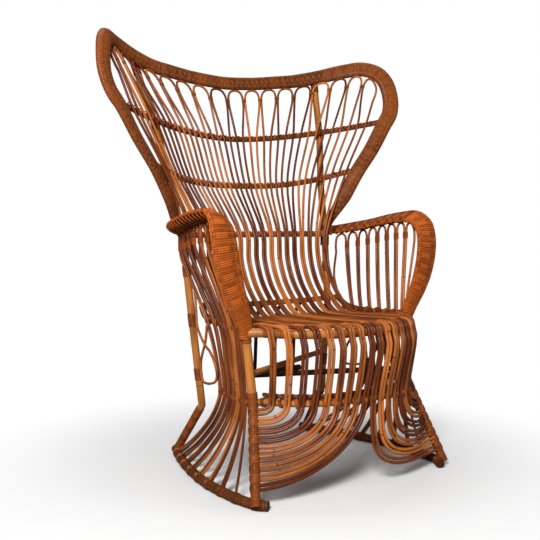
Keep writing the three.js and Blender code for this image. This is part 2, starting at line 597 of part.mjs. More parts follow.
// One strand of a side loop, from the top of its loop under the arm down to the runner.
const armByDepth = armCurve.getPoints(ARM_STEPS).filter((p) => p.z > ARM_LEVEL_SHARE * ARM_HEIGHT);
function underArm(y, below) {
  const near = armByDepth.reduce((a, b) => (Math.abs(b.y - y) < Math.abs(a.y - y) ? b : a));
  const inward = ARM_THICKNESS / 2;
  const under = inward * (Math.hypot(1, ARM_RISE_SHARE) + ARM_RISE_SHARE);
  return at(near.x - inward, y, near.z - under - below);
}
function sideStrand(loop, side, { columnShares, braceShares }) {
  const radius = SIDE_CANE_RADIUS;
  const middle = SIDE_LOOP_START + loop * SIDE_LOOP_PITCH;
  const bound = 1 - (2 * (radius + CLEARANCE)) / SIDE_LOOP_PITCH;
  const points = SIDE_LOOP_SHARES.map(([share, depth]) => underArm(
    middle + side * (SIDE_LOOP_PITCH / 2) * share * bound,
    radius + CLEARANCE + depth * SIDE_BIND_DROP));
  const beside = -side * (radius + CLEARANCE);
  const outside = (rail, depth, height) => {
    const [front, rear] = rail.points;
    const share = (depth - front.y) / (rear.y - front.y);
    return at(lerp(front.x, rear.x, share) + rail.radius + radius + CLEARANCE, depth, height);
  };
  const column = loop + (side + 1) / 2;
  if (column === SIDE_LOOPS) {
    const crossing = [...braceShares, ...BRACE_LOOP_SHARES].map(([back, up, lift]) => {
      const height = Math.min(up, 1) * SIDE_RAIL_HEIGHT;
      const share = (height - WAIST_HEIGHT) / (SIDE_RAIL_HEIGHT - WAIST_HEIGHT);
      const low = outside(waistLine, back * SEAT_DEPTH, up * SIDE_RAIL_HEIGHT);
      const high = outside(seatLine, back * SEAT_DEPTH, up * SIDE_RAIL_HEIGHT);
      return low.lerp(high, share).add(at(lift * (radius + CLEARANCE), 0, 0));
    });
    return [...points, ...crossing];
  }
  const seat = outside(seatLine, columnShares[column] * SEAT_DEPTH, SIDE_RAIL_HEIGHT);
  const waist = outside(waistLine, WAIST_COLUMN_SHARES[column] * SEAT_DEPTH, WAIST_HEIGHT);
  const between = seat.clone().lerp(waist, 0.5);
  const line = [seat, between.setY(lerp(seat.y, waist.y, BETWEEN_RAILS_SHARE))];
  const end = runnerCurve.getPointAt(RUNNER_SLAT_SHARES[column]);
  for (const down of SLAT_SHARES) {
    const out = down ** SLAT_POWER_SHARE;
    line.push(at(
      lerp(waist.x, end.x, out), lerp(waist.y, end.y, out), lerp(waist.z, end.z, down)));
  }
  const dirs = tangents(line);
  const moved = line.map((p, i) =>
    p.clone().addScaledVector(RIGHT.clone().cross(dirs[i]).normalize(), beside));
  return [...points, ...moved];
}
const sideLoop = (loop, half) => ({
  points: [...sideStrand(loop, -1, half).reverse(), ...sideStrand(loop, 1, half)],
  radius: SIDE_CANE_RADIUS,
  sides: CANE_SIDES,
});

const materials = {
  pole: new THREE.MeshStandardMaterial({ color: 0xc98a45, roughness: 0.4 }),
  cane: new THREE.MeshStandardMaterial({ color: 0xb5652b, roughness: 0.35 }),
  wrap: new THREE.MeshStandardMaterial({ color: 0x96501f, roughness: 0.5 }),
};
const chair = new THREE.Group();
// The hood stands a little askew: what is above the arms rises from the left to the right.
function askew(geometry) {
  const places = geometry.attributes.position;
  for (let i = 0; i < places.count; i++) {
    const z = places.getZ(i);
    const share = THREE.MathUtils.clamp((z - ARM_HEIGHT) / HOOD_TILT_RISE, 0, 1);
    places.setZ(i, z + HOOD_TILT_SHARE * share * places.getX(i));
  }
  return geometry;
}
function add(name, geometry, material) {
  const mesh = new THREE.Mesh(askew(geometry), material);
  mesh.name = name;
  chair.add(mesh);
}
function addBoth(name, path, neighbours, material) {
  add(name + "_right", fitted(path, [], ...neighbours), material);
  add(name + "_left", fitted(mirrorPath(path), [], ...neighbours.map(mirrorPath)), material);
}

addBoth("runner", runner, [], materials.pole);
addBoth("front_leg", frontLeg, [runner], materials.pole);
addBoth("rear_post", rearPost, [runner, rim], materials.pole);
addBoth("arm", arm, [frontLeg, rearPost], materials.wrap);
const bothSides = (...paths) => paths.flatMap((path) => [path, mirrorPath(path)]);
const postUnderRim = { ...rearPost, points: rearPost.points.slice(1) };
add("hood_rim", fitted(rim, [], ...bothSides(postUnderRim, arm)), materials.wrap);
add("seat_front_rail", fitted(seatFrontRail, [], ...bothSides(frontLeg, arm)), materials.pole);
add("waist_front_rail", fitted(waistFrontRail, [], ...bothSides(frontLeg)), materials.pole);
addBoth("seat_side_rail", seatSideRail, [frontLeg, rearPost, arm, seatFrontRail], materials.pole);
addBoth("waist_side_rail", waistSideRail, [frontLeg, rearPost, waistFrontRail], materials.pole);
add("cross_brace_upper", fitted(braceUpper, [], mirrorPath(frontLeg), rearPost), materials.pole);
add("cross_brace_lower", fitted(braceLower, [], frontLeg, rearRail, braceUpper), materials.pole);
add("back_band_upper", fitted(upperBand, [], rim, ...bothSides(rearPost)), materials.cane);
add("back_band_middle", fitted(middleBand, [], rim, ...bothSides(rearPost)), materials.cane);
add("back_band_arm_level", fitted(armBand, [], rim, ...bothSides(rearPost, arm)), materials.cane);
add("seat_back_rail", fitted(seatBand, [], ...bothSides(rearPost, seatSideRail)), materials.cane);
add("rear_frame", fitted(rearRail, uprights, braceUpper), materials.pole);
for (let i = 0; i < BACK_LOOPS; i++) {
  const pair = i - (BACK_LOOPS - 1) / 2;
  const path = pair > 0
    ? backLoop(pair, RIGHT_SIDE)
    : mirrorPath(backLoop(-pair, LEFT_SIDE));
  const name = "back_cane_" + String(i + 1).padStart(2, "0");
  add(name, fitted(path, [], rim, ...bothSides(frontLeg), seatFrontRail), materials.cane);
}
for (let i = 0; i < SIDE_LOOPS; i++) {
  const neighbours = [arm, runner, seatSideRail, waistSideRail, rearPost, frontLeg];
  const leftNeighbours = neighbours.map(mirrorPath);
  const right = sideLoop(i, RIGHT_SIDE);
  const left = mirrorPath(sideLoop(i, LEFT_SIDE));
  add("side_cane_" + (i + 1) + "_right", fitted(right, [], ...neighbours), materials.cane);
  add("side_cane_" + (i + 1) + "_left", fitted(left, [], ...leftNeighbours), materials.cane);
}

const box = new THREE.Box3().setFromObject(chair);
const middle = box.getCenter(new THREE.Vector3());
chair.children.forEach((mesh) => mesh.position.set(-middle.x, -middle.y, -box.min.z));

export default chair;
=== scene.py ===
"""Looks of a peacock armchair of bent rattan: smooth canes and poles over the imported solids, with
their bindings, woven rim and arms, and the stage. Metres, +Z up, the sitter faces -Y."""

import bpy
import numpy as np
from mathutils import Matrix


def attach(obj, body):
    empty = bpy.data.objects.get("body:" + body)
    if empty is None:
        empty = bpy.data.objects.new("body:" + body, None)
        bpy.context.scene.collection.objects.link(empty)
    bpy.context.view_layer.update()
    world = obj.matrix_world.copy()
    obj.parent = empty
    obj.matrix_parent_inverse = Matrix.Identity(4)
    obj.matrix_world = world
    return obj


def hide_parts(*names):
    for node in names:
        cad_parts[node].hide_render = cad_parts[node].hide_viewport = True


bl_info = {
    "name": "Peacock Chair",
    "version": (1, 0, 0),
    "blender": (4, 5, 0),
    "location": "View3D > Sidebar > Chair",
    "description": "Builds a peacock armchair of bent rattan",
    "category": "Add Mesh",
}

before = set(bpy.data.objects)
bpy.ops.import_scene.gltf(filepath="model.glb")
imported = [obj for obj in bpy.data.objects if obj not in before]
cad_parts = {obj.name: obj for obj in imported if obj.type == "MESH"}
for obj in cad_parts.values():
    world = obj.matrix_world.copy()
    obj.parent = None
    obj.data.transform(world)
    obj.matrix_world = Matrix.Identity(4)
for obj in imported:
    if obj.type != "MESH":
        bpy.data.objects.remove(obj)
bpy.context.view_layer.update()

# Where the front legs stand in the frame; every place below is measured from them.
FRONT_Y = -0.17235
CLEAR = 0.0004

# Frame sizes, as in the solids
SEAT_HALF, SEAT_DEPTH, SEAT_RAIL_Z, SIDE_RAIL_Z, SEAT_REAR_Z = 0.257, 0.297, 0.384, 0.394, 0.387
SEAT_ARC = dict(half=0.24, start=0, bow=0.142)
WAIST_ARC = dict(half=0.234, start=0.004, bow=0.123)
WAIST_Z, WAIST_HALF, WAIST_ADVANCE = 0.222, 0.248, 0.015
WAIST_REAR_HALF, WAIST_REAR_DEPTH, REAR_RAIL_HALF = 0.211, 0.294, 0.124
POST_HALF, POST_PAIR, POST_GAP, POST_TOP_GAP = 0.231, 5.2, 0.0248, 0.0142
POST_ROW_SHARES = (0.635, 0.78, 0.985)
KINK = (0.205, 0.29, 0.155)
SEAT_CORNER_GAP, UPRIGHTS, UPRIGHT_PITCH, UPRIGHT_GAP, UPRIGHT_Y = 0.0144, 4, 0.066, 0.0183, 0.276
BRACE_FRONT_Z, BRACE_REAR_Z, BRACE_Z = 0.288, 0.262, 0.252
RUNNER_HALF, RUNNER_FRONT, RUNNER_REAR, RUNNER_Z = 0.306, 0.114, 0.412, 0.012
ARM_BASE_Z, ARM_Z, ARM_SPREAD, ARM_DEPTH = 0.372, 0.656, 0.318, 0.322
HOOD_HALF, HOOD_Z, HOOD_REACH = 0.472, 1.112, 0.5
HOOD_LEAN, HOOD_TILT, HOOD_TILT_RISE = 0.35, 0.0165, 0.13
SKIRT_BULGE, SKIRT_BULGE_Z, LIP_NARROWING, WAIST_NARROWING = 0.006, 0.352, 0.007, 0.006

# Crosswise rows of the back: height and reach at the middle, rise and drop at the ends, half
# length, the lean of the canes there, and the power of its bend
UPPER_ROW = dict(z=0.7975 * HOOD_Z, rise=0.0505 * HOOD_Z, y=0.906 * HOOD_REACH,
                 drop=0.332 * HOOD_REACH, half=0.9 * HOOD_HALF, lean=0.32, power=1.75)
MIDDLE_ROW = dict(z=0.6735 * HOOD_Z, rise=0.0405 * HOOD_Z, y=0.81 * HOOD_REACH,
                  drop=0.214 * HOOD_REACH, half=0.674 * HOOD_HALF, lean=0.48, power=2.6)
ARM_ROW = dict(z=0.609, rise=0, y=0.318, drop=0.018, half=0.24, lean=0.25, power=2.5)
SEAT_ROW = dict(z=0.427, rise=0.006, y=0.244, drop=0.008, half=0.228, lean=1, power=2.5)

BACK_LOOPS, LOOP_SPAN, LOOP_BIND_DROP = 18, 0.51, 0.05
SIDE_LOOPS, SIDE_PITCH, SIDE_START, SIDE_BIND_DROP = 8, 0.0354, 0.037, 0.042
UPPER_PITCH = 2 * UPPER_ROW["half"] * 0.945 / BACK_LOOPS
MIDDLE_PITCH = 2 * MIDDLE_ROW["half"] / BACK_LOOPS
ARM_PITCH, SEAT_PITCH = 0.0266, 0.026
LIP_PITCH, WAIST_PITCH, FOOT_PITCH, FIRST_PAIR_Z = 0.0272, 0.0263, 0.0194, 0.203
LOW_BEND_POWER, SIDE_SWEEP_POWER, SEAT_TOP_Z = 2.6, 1.6, 0.397
RIGHT_SIDE = {"sweep": (2, 4.5),
              "free": [(0.28, 0), (0.9, 0.08), (1.45, 0.22), (1.65, 0.56), (1.5, 1.12)],
              "columns": (0.034, 0.081, 0.155, 0.242, 0.357, 0.475, 0.59, 0.7),
              "brace": [(0.989, 1.407, 4.5), (0.986, 1.343, 3.3), (0.986, 1.272, 2.3),
                        (0.965, 1.193, 1.3), (0.88, 1.06, 0.7)]}
LEFT_SIDE = {"sweep": (2, 1.8),
             "free": [(0.28, 0), (0.6, 0.12), (0.8, 0.36), (0.75, 0.7), (0.5, 1.02)],
             "columns": (0.034, 0.081, 0.141, 0.208, 0.283, 0.364, 0.47, 0.606),
             "brace": [(1.002, 1.363, 4), (0.932, 1.299, 2.5), (0.872, 1.242, 1),
                       (0.851, 1.17, 0), (0.819, 1.041, 0)]}

RIM_SHARES = [
    (0, 0.996, 0.946), (0.13, 0.999, 0.949), (0.26, 0.998, 0.954), (0.39, 0.986, 0.961),
    (0.51, 0.966, 0.967), (0.665, 0.904, 0.98), (0.815, 0.82, 0.996), (0.9, 0.74, 1),
    (0.96, 0.665, 0.986), (0.99, 0.615, 0.958), (1, 0.58, 0.91), (0.975, 0.562, 0.87),
    (0.92, 0.56, 0.836), (0.827, 0.57, 0.771), (0.712, 0.59, 0.702), (0.62, 0.612, 0.636),
    (0.558, 0.652, 0.583), (0.541, 0.656, 0.566),
]
ARM_SHARES = [
    (0.808, 0, 0.567), (0.82, -0.008, 0.6), (0.852, -0.02, 0.645), (0.905, -0.036, 0.7),
    (0.96, -0.047, 0.77), (0.998, -0.048, 0.845), (1.013, -0.038, 0.908), (1.015, -0.002, 0.961),
    (1.008, 0.065, 0.99), (1, 0.14, 1.002), (0.998, 0.25, 1), (0.985, 0.45, 0.988),
    (0.96, 0.65, 0.97), (0.915, 0.82, 0.957), (0.86, 0.93, 0.948), (0.8, 0.985, 0.943),
]
ARM_WIDTHS = [
    0.52, 0.58, 0.7, 0.82, 0.94, 1, 1, 0.97, 0.93, 0.9, 0.88, 0.86, 0.84, 0.8, 0.72, 0.62,
]
RUNNER_SHARES = [
    (0.895, -1), (0.95, -0.79), (0.985, -0.4), (1, 0.06), (0.99, 0.26), (0.93, 0.51),
    (0.83, 0.77), (0.715, 1),
]
LOOP_SHARES = [(0.28, 0), (0.7, 0.12), (0.93, 0.36), (1, 0.58), (1, 1)]
SIDE_LOOP_SHARES = [(0.3, 0), (0.82, 0.18), (1, 0.55), (1, 1)]
LIP_TURNS = [1.7, 0.75, 0, -0.6, -0.9]
SEAT_REAR_SHARES = [(0.65, 0.4), (1.3, 0.07), (2.4, 0)]
WAIST_COLUMNS = [-0.02, 0.027, 0.088, 0.152, 0.222, 0.296, 0.377, 0.465]
RUNNER_COLUMNS = [0.17, 0.28, 0.39, 0.5, 0.61, 0.72, 0.82, 0.92]
BRACE_LOOP = [
    (0.79, 0.953, 1), (0.723, 0.903, 2), (0.612, 0.845, 3), (0.502, 0.817, 4), (0.442, 0.773, 4),
    (0.407, 0.724, 4), (0.452, 0.666, 2), (0.492, 0.625, 2), (0.589, 0.599, 2), (0.679, 0.588, 2),
    (0.757, 0.593, 2), (0.776, 0.644, 2), (0.759, 0.719, 2), (0.7, 0.791, 2), (0.635, 0.853, 2),
    (0.593, 0.919, 2), (0.568, 0.972, 2),
]


def length(name, description, default):
    return bpy.props.FloatProperty(
        name=name, description=description, default=default, unit="LENGTH")


def tint(name, description, *default):
    return bpy.props.FloatVectorProperty(
        name=name, description=description, subtype="COLOR", default=default)


class ChairSizes(bpy.types.PropertyGroup):
    hood_cane: length("Hood cane", "Radius of a cane in the hood", 0.0034)
    back_cane: length("Back cane", "Radius of a cane below the arms", 0.0037)
    seat_cane: length("Seat cane", "Radius of a cane on the seat and the skirt", 0.0042)
    side_cane: length("Side cane", "Radius of a cane under the arm", 0.0033)
    binding: length("Binding", "Radius of the thin cane that ties the joints", 0.0011)
    front_pole: length("Front pole", "Radius of a front leg", 0.011)
    foot_pole: length("Foot pole", "Radius of a front leg near the floor", 0.0095)
    rear_pole: length("Rear pole", "Radius of a rear post", 0.01)
    runner: length("Runner", "Radius of a runner with its wrap", 0.012)
    seat_rail: length("Seat rail", "Radius of the bowed rail at the seat", 0.011)
    side_rail: length("Side rail", "Radius of the other rails", 0.0085)
    brace: length("Brace", "Radius of a crossing brace", 0.0075)
    upright: length("Upright", "Radius of an upright behind the seat", 0.005)
    rim_width: length("Rim width", "Width of the hood's rim at its middle", 0.039)
    wing_width: length("Wing width", "Width of the rim at the wings", 0.048)
    arm_width: length("Arm width", "Width of an arm", 0.063)
    weave_pitch: length("Weave pitch", "Length of rim that one turn of its wrap covers", 0.0045)


class ChairColours(bpy.types.PropertyGroup):
    pole: tint("Pole", "Bare pole", 0.42, 0.15, 0.032)
    cane_light: tint("Pale cane", "The palest canes", 0.56, 0.17, 0.032)
    cane_dark: tint("Dark cane", "The darkest canes", 0.1, 0.019, 0.005)
    wrap: tint("Wrap", "Bindings and wraps", 0.27, 0.064, 0.01)
    weave: tint("Weave", "Woven rim", 0.2, 0.05, 0.009)
    arm_weave: tint("Arm weave", "Woven arms", 0.34, 0.073, 0.008)
    floor: tint("Floor", "Pale floor", 0.86, 0.86, 0.86)


def at(x, y, z):
    return np.array((x, y, z), float)


def unit(v):
    return v / np.linalg.norm(v, axis=-1, keepdims=True)


def sided(points, way):
    """Points for the right-hand side, where `way` is 1, or moved to the left, where it is -1."""
    return np.asarray(points) * (way, 1, 1)


def flip(points):
    return sided(points, -1)


def blend(a, b, share):
    return a + (b - a) * share


def flowing(points, steps):
    """Points of a smooth curve through the given ones, with some steps between each two."""
    points = np.array(points, float)
    knots = np.vstack((2 * points[0] - points[1], points, 2 * points[-1] - points[-2]))
    t = np.linspace(0, 1, steps, endpoint=False)[:, None]
    pieces = []
    for a, b, c, d in zip(knots, knots[1:], knots[2:], knots[3:]):
        ab, bc, cd = (max(np.linalg.norm(q - p), 1e-6) ** 0.5 for p, q in ((a, b), (b, c), (c, d)))
        leave = ((b - a) / ab - (c - a) / (ab + bc) + (c - b) / bc) * bc
        reach = ((c - b) / bc - (d - b) / (bc + cd) + (d - c) / cd) * bc
        pieces.append(
            (2 * t**3 - 3 * t**2 + 1) * b + (t**3 - 2 * t**2 + t) * leave
            + (3 * t**2 - 2 * t**3) * c + (t**3 - t**2) * reach)
    return np.vstack(pieces + [points[-1:]])


def tangents(points):
    """The direction of a line at each of its points."""
    ends = np.vstack((points[:1], points, points[-1:]))
    return unit(ends[2:] - ends[:-2])


class Line:
    """A line of short steps that is looked up by its length."""

    def __init__(self, points, steps=1):
        self.points = flowing(points, steps) if steps > 1 else np.array(points, float)
        run = np.linalg.norm(np.diff(self.points, axis=0), axis=1)
        self.run = np.concatenate(([0], np.cumsum(run)))
        self.length = self.run[-1]

    def place(self, share):
        run = np.asarray(share) * self.length
        return np.stack([np.interp(run, self.run, self.points[:, k]) for k in range(3)], -1)

    def way(self, share, reach=0.003):
        return unit(self.place(share + reach) - self.place(share - reach))


# Rows of the back
def row_point(row, x):
    share = abs(x / row["half"]) ** row["power"]
    return at(x, row["y"] - row["drop"] * share, row["z"] + row["rise"] * share)


def row_normal(row, x):
    share = abs(x / row["half"]) ** (row["power"] - 1)
    slope = row["power"] * row["drop"] / row["half"] * share * np.sign(x)
    return unit(at(slope, 1, -row["lean"]))


def behind_row(row, x, distance):
    return row_point(row, x) + row_normal(row, x) * distance


# The hood's rim
RIM_HALF = np.array(RIM_SHARES) * (HOOD_HALF, HOOD_REACH, HOOD_Z)
RIM = Line(np.vstack((flip(RIM_HALF[:0:-1]), RIM_HALF)), 24)
LOOP_PITCH = RIM.length * LOOP_SPAN / BACK_LOOPS
RIM_THICKNESS, RIM_END_WIDTH, RIM_END_Z, RIM_TAPER_Z = 0.02, 0.018, 0.63, 0.09


def rim_normal(point):
    rows = (ARM_ROW, MIDDLE_ROW, UPPER_ROW)
    ends = [row["z"] + row["rise"] for row in rows]
    k = 0 if point[2] < ends[1] else 1
    share = np.clip((point[2] - ends[k]) / (ends[k + 1] - ends[k]), 0, 1)
    if point[2] >= ends[2]:
        return row_normal({**UPPER_ROW, "half": HOOD_HALF, "lean": HOOD_LEAN}, point[0])
    low, high = (row_normal(row, np.sign(point[0]) * row["half"]) for row in rows[k:k + 2])
    return unit(blend(low, high, share))


def rim_half_width(point):
    sizes = bpy.context.scene.chair_sizes
    full = blend(sizes.rim_width, sizes.wing_width, (point[0] / HOOD_HALF) ** 2)
    share = np.clip((point[2] - RIM_END_Z) / RIM_TAPER_Z, 0, 1)
    return blend(RIM_END_WIDTH, full, share) / 2


def hood_face(along):
    """The face of the canes between the rim and the upper row, at a signed distance along the rim
    from its middle: the rim's place, the way square to the face, the rim's inner edge and the way
    down."""
    share = 0.5 + along / RIM.length
    point, way = RIM.place(share), RIM.way(share)
    down = row_point(UPPER_ROW, along / LOOP_PITCH * UPPER_PITCH) - point
    normal = unit(np.cross(way, down))
    edge = point + np.cross(normal, way) * rim_half_width(point)
    return point, normal, edge, unit(down)


def under_rim(along, below):
    """A place on that face, below the rim's inner edge."""
    _, _, edge, down = hood_face(along)
    return edge + down * below


# Poles and rails
RUNNER_LINE = Line(
    [(x * RUNNER_HALF, y * (RUNNER_FRONT if y < 0 else RUNNER_REAR), RUNNER_Z)
     for x, y in RUNNER_SHARES], 8)
FOOT = RUNNER_LINE.place(0.04) + (0.013, -0.006, 0)
HEEL = RUNNER_LINE.place(0.97)
WAIST_CORNER = at(WAIST_HALF, -WAIST_ADVANCE, WAIST_Z)
ARM_FOOT = at(SEAT_HALF, 0, ARM_BASE_Z)


def leg_at(z):
    if z < WAIST_Z:
        return blend(FOOT, WAIST_CORNER, (z - FOOT[2]) / (WAIST_Z - FOOT[2]))
    return blend(WAIST_CORNER, ARM_FOOT, (z - WAIST_Z) / (ARM_BASE_Z - WAIST_Z))


POST_SEAT = at(POST_HALF, SEAT_DEPTH, SIDE_RAIL_Z)
POST_WAIST = at(WAIST_REAR_HALF, WAIST_REAR_DEPTH, WAIST_Z)


def knee_at(z):
    return blend(POST_WAIST, POST_SEAT, (z - WAIST_Z) / (SIDE_RAIL_Z - WAIST_Z))


def post_points():
    top, normal, _, _ = hood_face(POST_PAIR * LOOP_PITCH)
    joints = [behind_row(row, share * row["half"], POST_GAP)
              for row, share in zip((UPPER_ROW, MIDDLE_ROW, ARM_ROW), POST_ROW_SHARES)]
    return [top + normal * POST_TOP_GAP, *joints, POST_SEAT, POST_WAIST, at(*KINK), HEEL]


ARM_POINTS = np.array(ARM_SHARES) * (ARM_SPREAD, ARM_DEPTH, ARM_Z)
ARM_POINTS[0] = ARM_FOOT + (0, 0, CLEAR)
ARM_LINE = Line(ARM_POINTS, 12)
ARM_THICKNESS, ARM_RISE, ARM_TURN = 0.02, 0.4, 0.005


def bow_at(arc, x):
    return -arc["start"] - arc["bow"] * (1 - abs(x / arc["half"]) ** 3)


def bow_slope(arc, x):
    return 3 * arc["bow"] / arc["half"] * (x / arc["half"]) ** 2


def before_rail(arc, x, distance):
    return bow_at(arc, x) - distance * np.hypot(1, bow_slope(arc, x))


def along_rail(arc, place, narrowing, beside):
    """The place across of a strand beside another one along a bowed rail, where the pairs stand
    closer towards the ends."""
    x = place - narrowing * (place / arc["half"]) ** 4
    return x + beside / np.hypot(1, bow_slope(arc, x))


def bowed_rail(arc, z):
    xs = -0.94 * arc["half"] * np.cos(np.linspace(0, np.pi, 24))
    middle = [at(x, bow_at(arc, x), z) for x in xs]
    return np.array([flip(leg_at(z)), *middle, leg_at(z)])


SEAT_LINE = (leg_at(SIDE_RAIL_Z), knee_at(SIDE_RAIL_Z))
WAIST_LINE = (WAIST_CORNER, knee_at(WAIST_Z))


def outside(rail, radius, depth, z):
    """A place just outside a side rail, at a distance back from the front legs."""
    front, rear = rail
    share = (depth - front[1]) / (rear[1] - front[1])
    return at(blend(front[0], rear[0], share) + radius, depth, z)


# Canes
def back_strand(pair, side, half):
    """One strand of a back loop, from the top of its loop over the seat to the front leg."""
    sizes = bpy.context.scene.chair_sizes
    inner = sizes.hood_cane + CLEAR
    edge = (pair + side / 2) * LOOP_PITCH
    left, right = (under_rim(edge + way * inner, LOOP_BIND_DROP) for way in (-1, 1))
    bound = 1 - 4 * inner**2 / LOOP_PITCH / np.linalg.norm(left - right)
    points = [
        under_rim(pair * LOOP_PITCH + side * LOOP_PITCH / 2 * share * bound,
                  inner + depth * LOOP_BIND_DROP)
        for share, depth in (half["free"] if 2 * pair + side == BACK_LOOPS else LOOP_SHARES)]
    strand = pair + side / 4
    upper = row_point(UPPER_ROW, strand * UPPER_PITCH)
    points += [blend(points[-1], upper, 0.3), upper, row_point(MIDDLE_ROW, strand * MIDDLE_PITCH)]
    radii = [sizes.hood_cane] * len(points)

    slim, full = (side * (radius + CLEAR) for radius in (sizes.back_cane, sizes.seat_cane))
    arm_level = row_point(ARM_ROW, pair * ARM_PITCH + slim)
    low = row_point(SEAT_ROW, pair * SEAT_PITCH + slim)
    points.append(arm_level)
    for share in (0.4, 0.75):
        point = blend(arm_level, low, share)
        points.append(at(point[0], blend(arm_level[1], low[1], share**LOW_BEND_POWER), point[2]))
    points.append(low)
    radii += [sizes.back_cane] * (len(points) - len(radii))

    front_x, lip_x = (along_rail(SEAT_ARC, pair * LIP_PITCH, LIP_NARROWING, beside)
                      for beside in (full, 0))
    lip_x += full
    over = sizes.seat_rail + sizes.seat_cane + CLEAR
    drop = low[2] - SEAT_REAR_Z
    points += [at(pair * SEAT_PITCH + full, low[1] - back * drop, SEAT_REAR_Z + up * drop)
               for back, up in SEAT_REAR_SHARES]
    for turn in LIP_TURNS:
        down = min(turn, 0)
        x = blend(lip_x, front_x, -down)
        y = (bow_at(SEAT_ARC, x) + turn * over if turn > 0
             else before_rail(SEAT_ARC, x, -turn * over))
        z = SEAT_RAIL_Z + np.sqrt(1 - down**2) * over
        points.append(at(x, y, min(z, SEAT_TOP_Z) if turn == LIP_TURNS[0] else z))
    front = before_rail(SEAT_ARC, front_x, over + SKIRT_BULGE * 0.33)
    points += [at(front_x, front, SEAT_RAIL_Z - sizes.seat_rail),
               at(front_x, front - SKIRT_BULGE, SKIRT_BULGE_Z)]

    waist_x = along_rail(WAIST_ARC, pair * WAIST_PITCH, WAIST_NARROWING, full)
    waist_y = before_rail(WAIST_ARC, waist_x, sizes.side_rail + sizes.seat_cane + CLEAR)
    nest = BACK_LOOPS / 2 - 0.5 - pair
    end = leg_at(FIRST_PAIR_Z - nest * FOOT_PITCH + full)
    power = blend(*half["sweep"], nest / (BACK_LOOPS / 2 - 1))
    for angle in np.linspace(0, np.pi / 2, 7):
        out = 1 - max(np.cos(angle), 0) ** (2 / power)
        down = np.sin(angle) ** (2 / power)
        points.append(at(blend(waist_x, end[0], out), blend(end[1], waist_y, 1 - out**2),
                         blend(WAIST_Z, end[2], down)))
    radii += [sizes.seat_cane] * (len(points) - len(radii))
    return points, radii


def back_loop(number):
    """A whole back loop and its radii: its two strands joined over the top."""
    pair = number - (BACK_LOOPS + 1) / 2
    half = RIGHT_SIDE if pair > 0 else LEFT_SIDE
    left, left_radii = back_strand(abs(pair), -1, half)
    right, right_radii = back_strand(abs(pair), 1, half)
    points = np.array(left[::-1] + right)
    return (points if pair > 0 else flip(points)), left_radii[::-1] + right_radii


def under_arm(y, below):
    points = ARM_LINE.points[ARM_LINE.points[:, 2] > 0.9 * ARM_Z]
    near = points[np.argmin(abs(points[:, 1] - y))]
    inward = ARM_THICKNESS / 2
    under = inward * (np.hypot(1, ARM_RISE) + ARM_RISE)
    return at(near[0] - inward, y, near[2] - under - below)


def side_strand(loop, side, half):
    """One strand of a side loop, from the top of its loop under the arm down to the runner."""
    sizes = bpy.context.scene.chair_sizes
    radius = sizes.side_cane
    centre = SIDE_START + loop * SIDE_PITCH
    bound = 1 - 2 * (radius + CLEAR) / SIDE_PITCH
    points = [under_arm(centre + side * SIDE_PITCH / 2 * share * bound,
                        radius + CLEAR + depth * SIDE_BIND_DROP)
              for share, depth in SIDE_LOOP_SHARES]
    gap = sizes.side_rail + radius + CLEAR
    column = loop + (side + 1) // 2
    if column == SIDE_LOOPS:
        for back, up, lift in half["brace"] + BRACE_LOOP:
            low, high = (outside(rail, gap, back * SEAT_DEPTH, up * SIDE_RAIL_Z)
                         for rail in (WAIST_LINE, SEAT_LINE))
            share = (min(up, 1) * SIDE_RAIL_Z - WAIST_Z) / (SIDE_RAIL_Z - WAIST_Z)
            points.append(blend(low, high, share) + (lift * (radius + CLEAR), 0, 0))
        return points
    seat = outside(SEAT_LINE, gap, half["columns"][column] * SEAT_DEPTH, SIDE_RAIL_Z)
    waist = outside(WAIST_LINE, gap, WAIST_COLUMNS[column] * SEAT_DEPTH, WAIST_Z)
    between = (seat + waist) / 2
    between[1] = blend(seat[1], waist[1], 0.75)
    end = RUNNER_LINE.place(RUNNER_COLUMNS[column])
    line = [seat, between]
    for down in (0, 0.12, 0.35, 0.7, 1):
        out = down**SIDE_SWEEP_POWER
        line.append(at(blend(waist[0], end[0], out), blend(waist[1], end[1], out),
                       blend(waist[2], end[2], down)))
    line = np.array(line)
    away = unit(np.cross((1, 0, 0), tangents(line)))
    return points + list(line - away * side * (radius + CLEAR))


def side_loop(loop, half):
    return np.array(side_strand(loop, -1, half)[::-1] + side_strand(loop, 1, half))


BOTH = (("right", 1), ("left", -1))

# Making lengths of cane: how square the skin of a flattened one is, and the height of a wrap's turn
FLAT, RELIEF = 0.75, 0.0006


def square_ways(line, across):
    """The two ways square to a line at each of its points, the first one near `across`."""
    ways = tangents(line)
    across = np.broadcast_to(across, line.shape)
    across = unit(across - ways * np.sum(across * ways, axis=1, keepdims=True))
    return across, np.cross(ways, across)


def on_skin(line, wide, high, across, turn):
    """Points on the skin of a flattened length, each some share of the way round it."""
    across, over = square_ways(line, across)
    angle = 2 * np.pi * np.broadcast_to(turn, len(line))
    cos, sin = (np.sign(f) * abs(f) ** FLAT for f in (np.cos(angle), np.sin(angle)))
    return line + across * (cos * wide)[:, None] + over * (sin * high)[:, None]


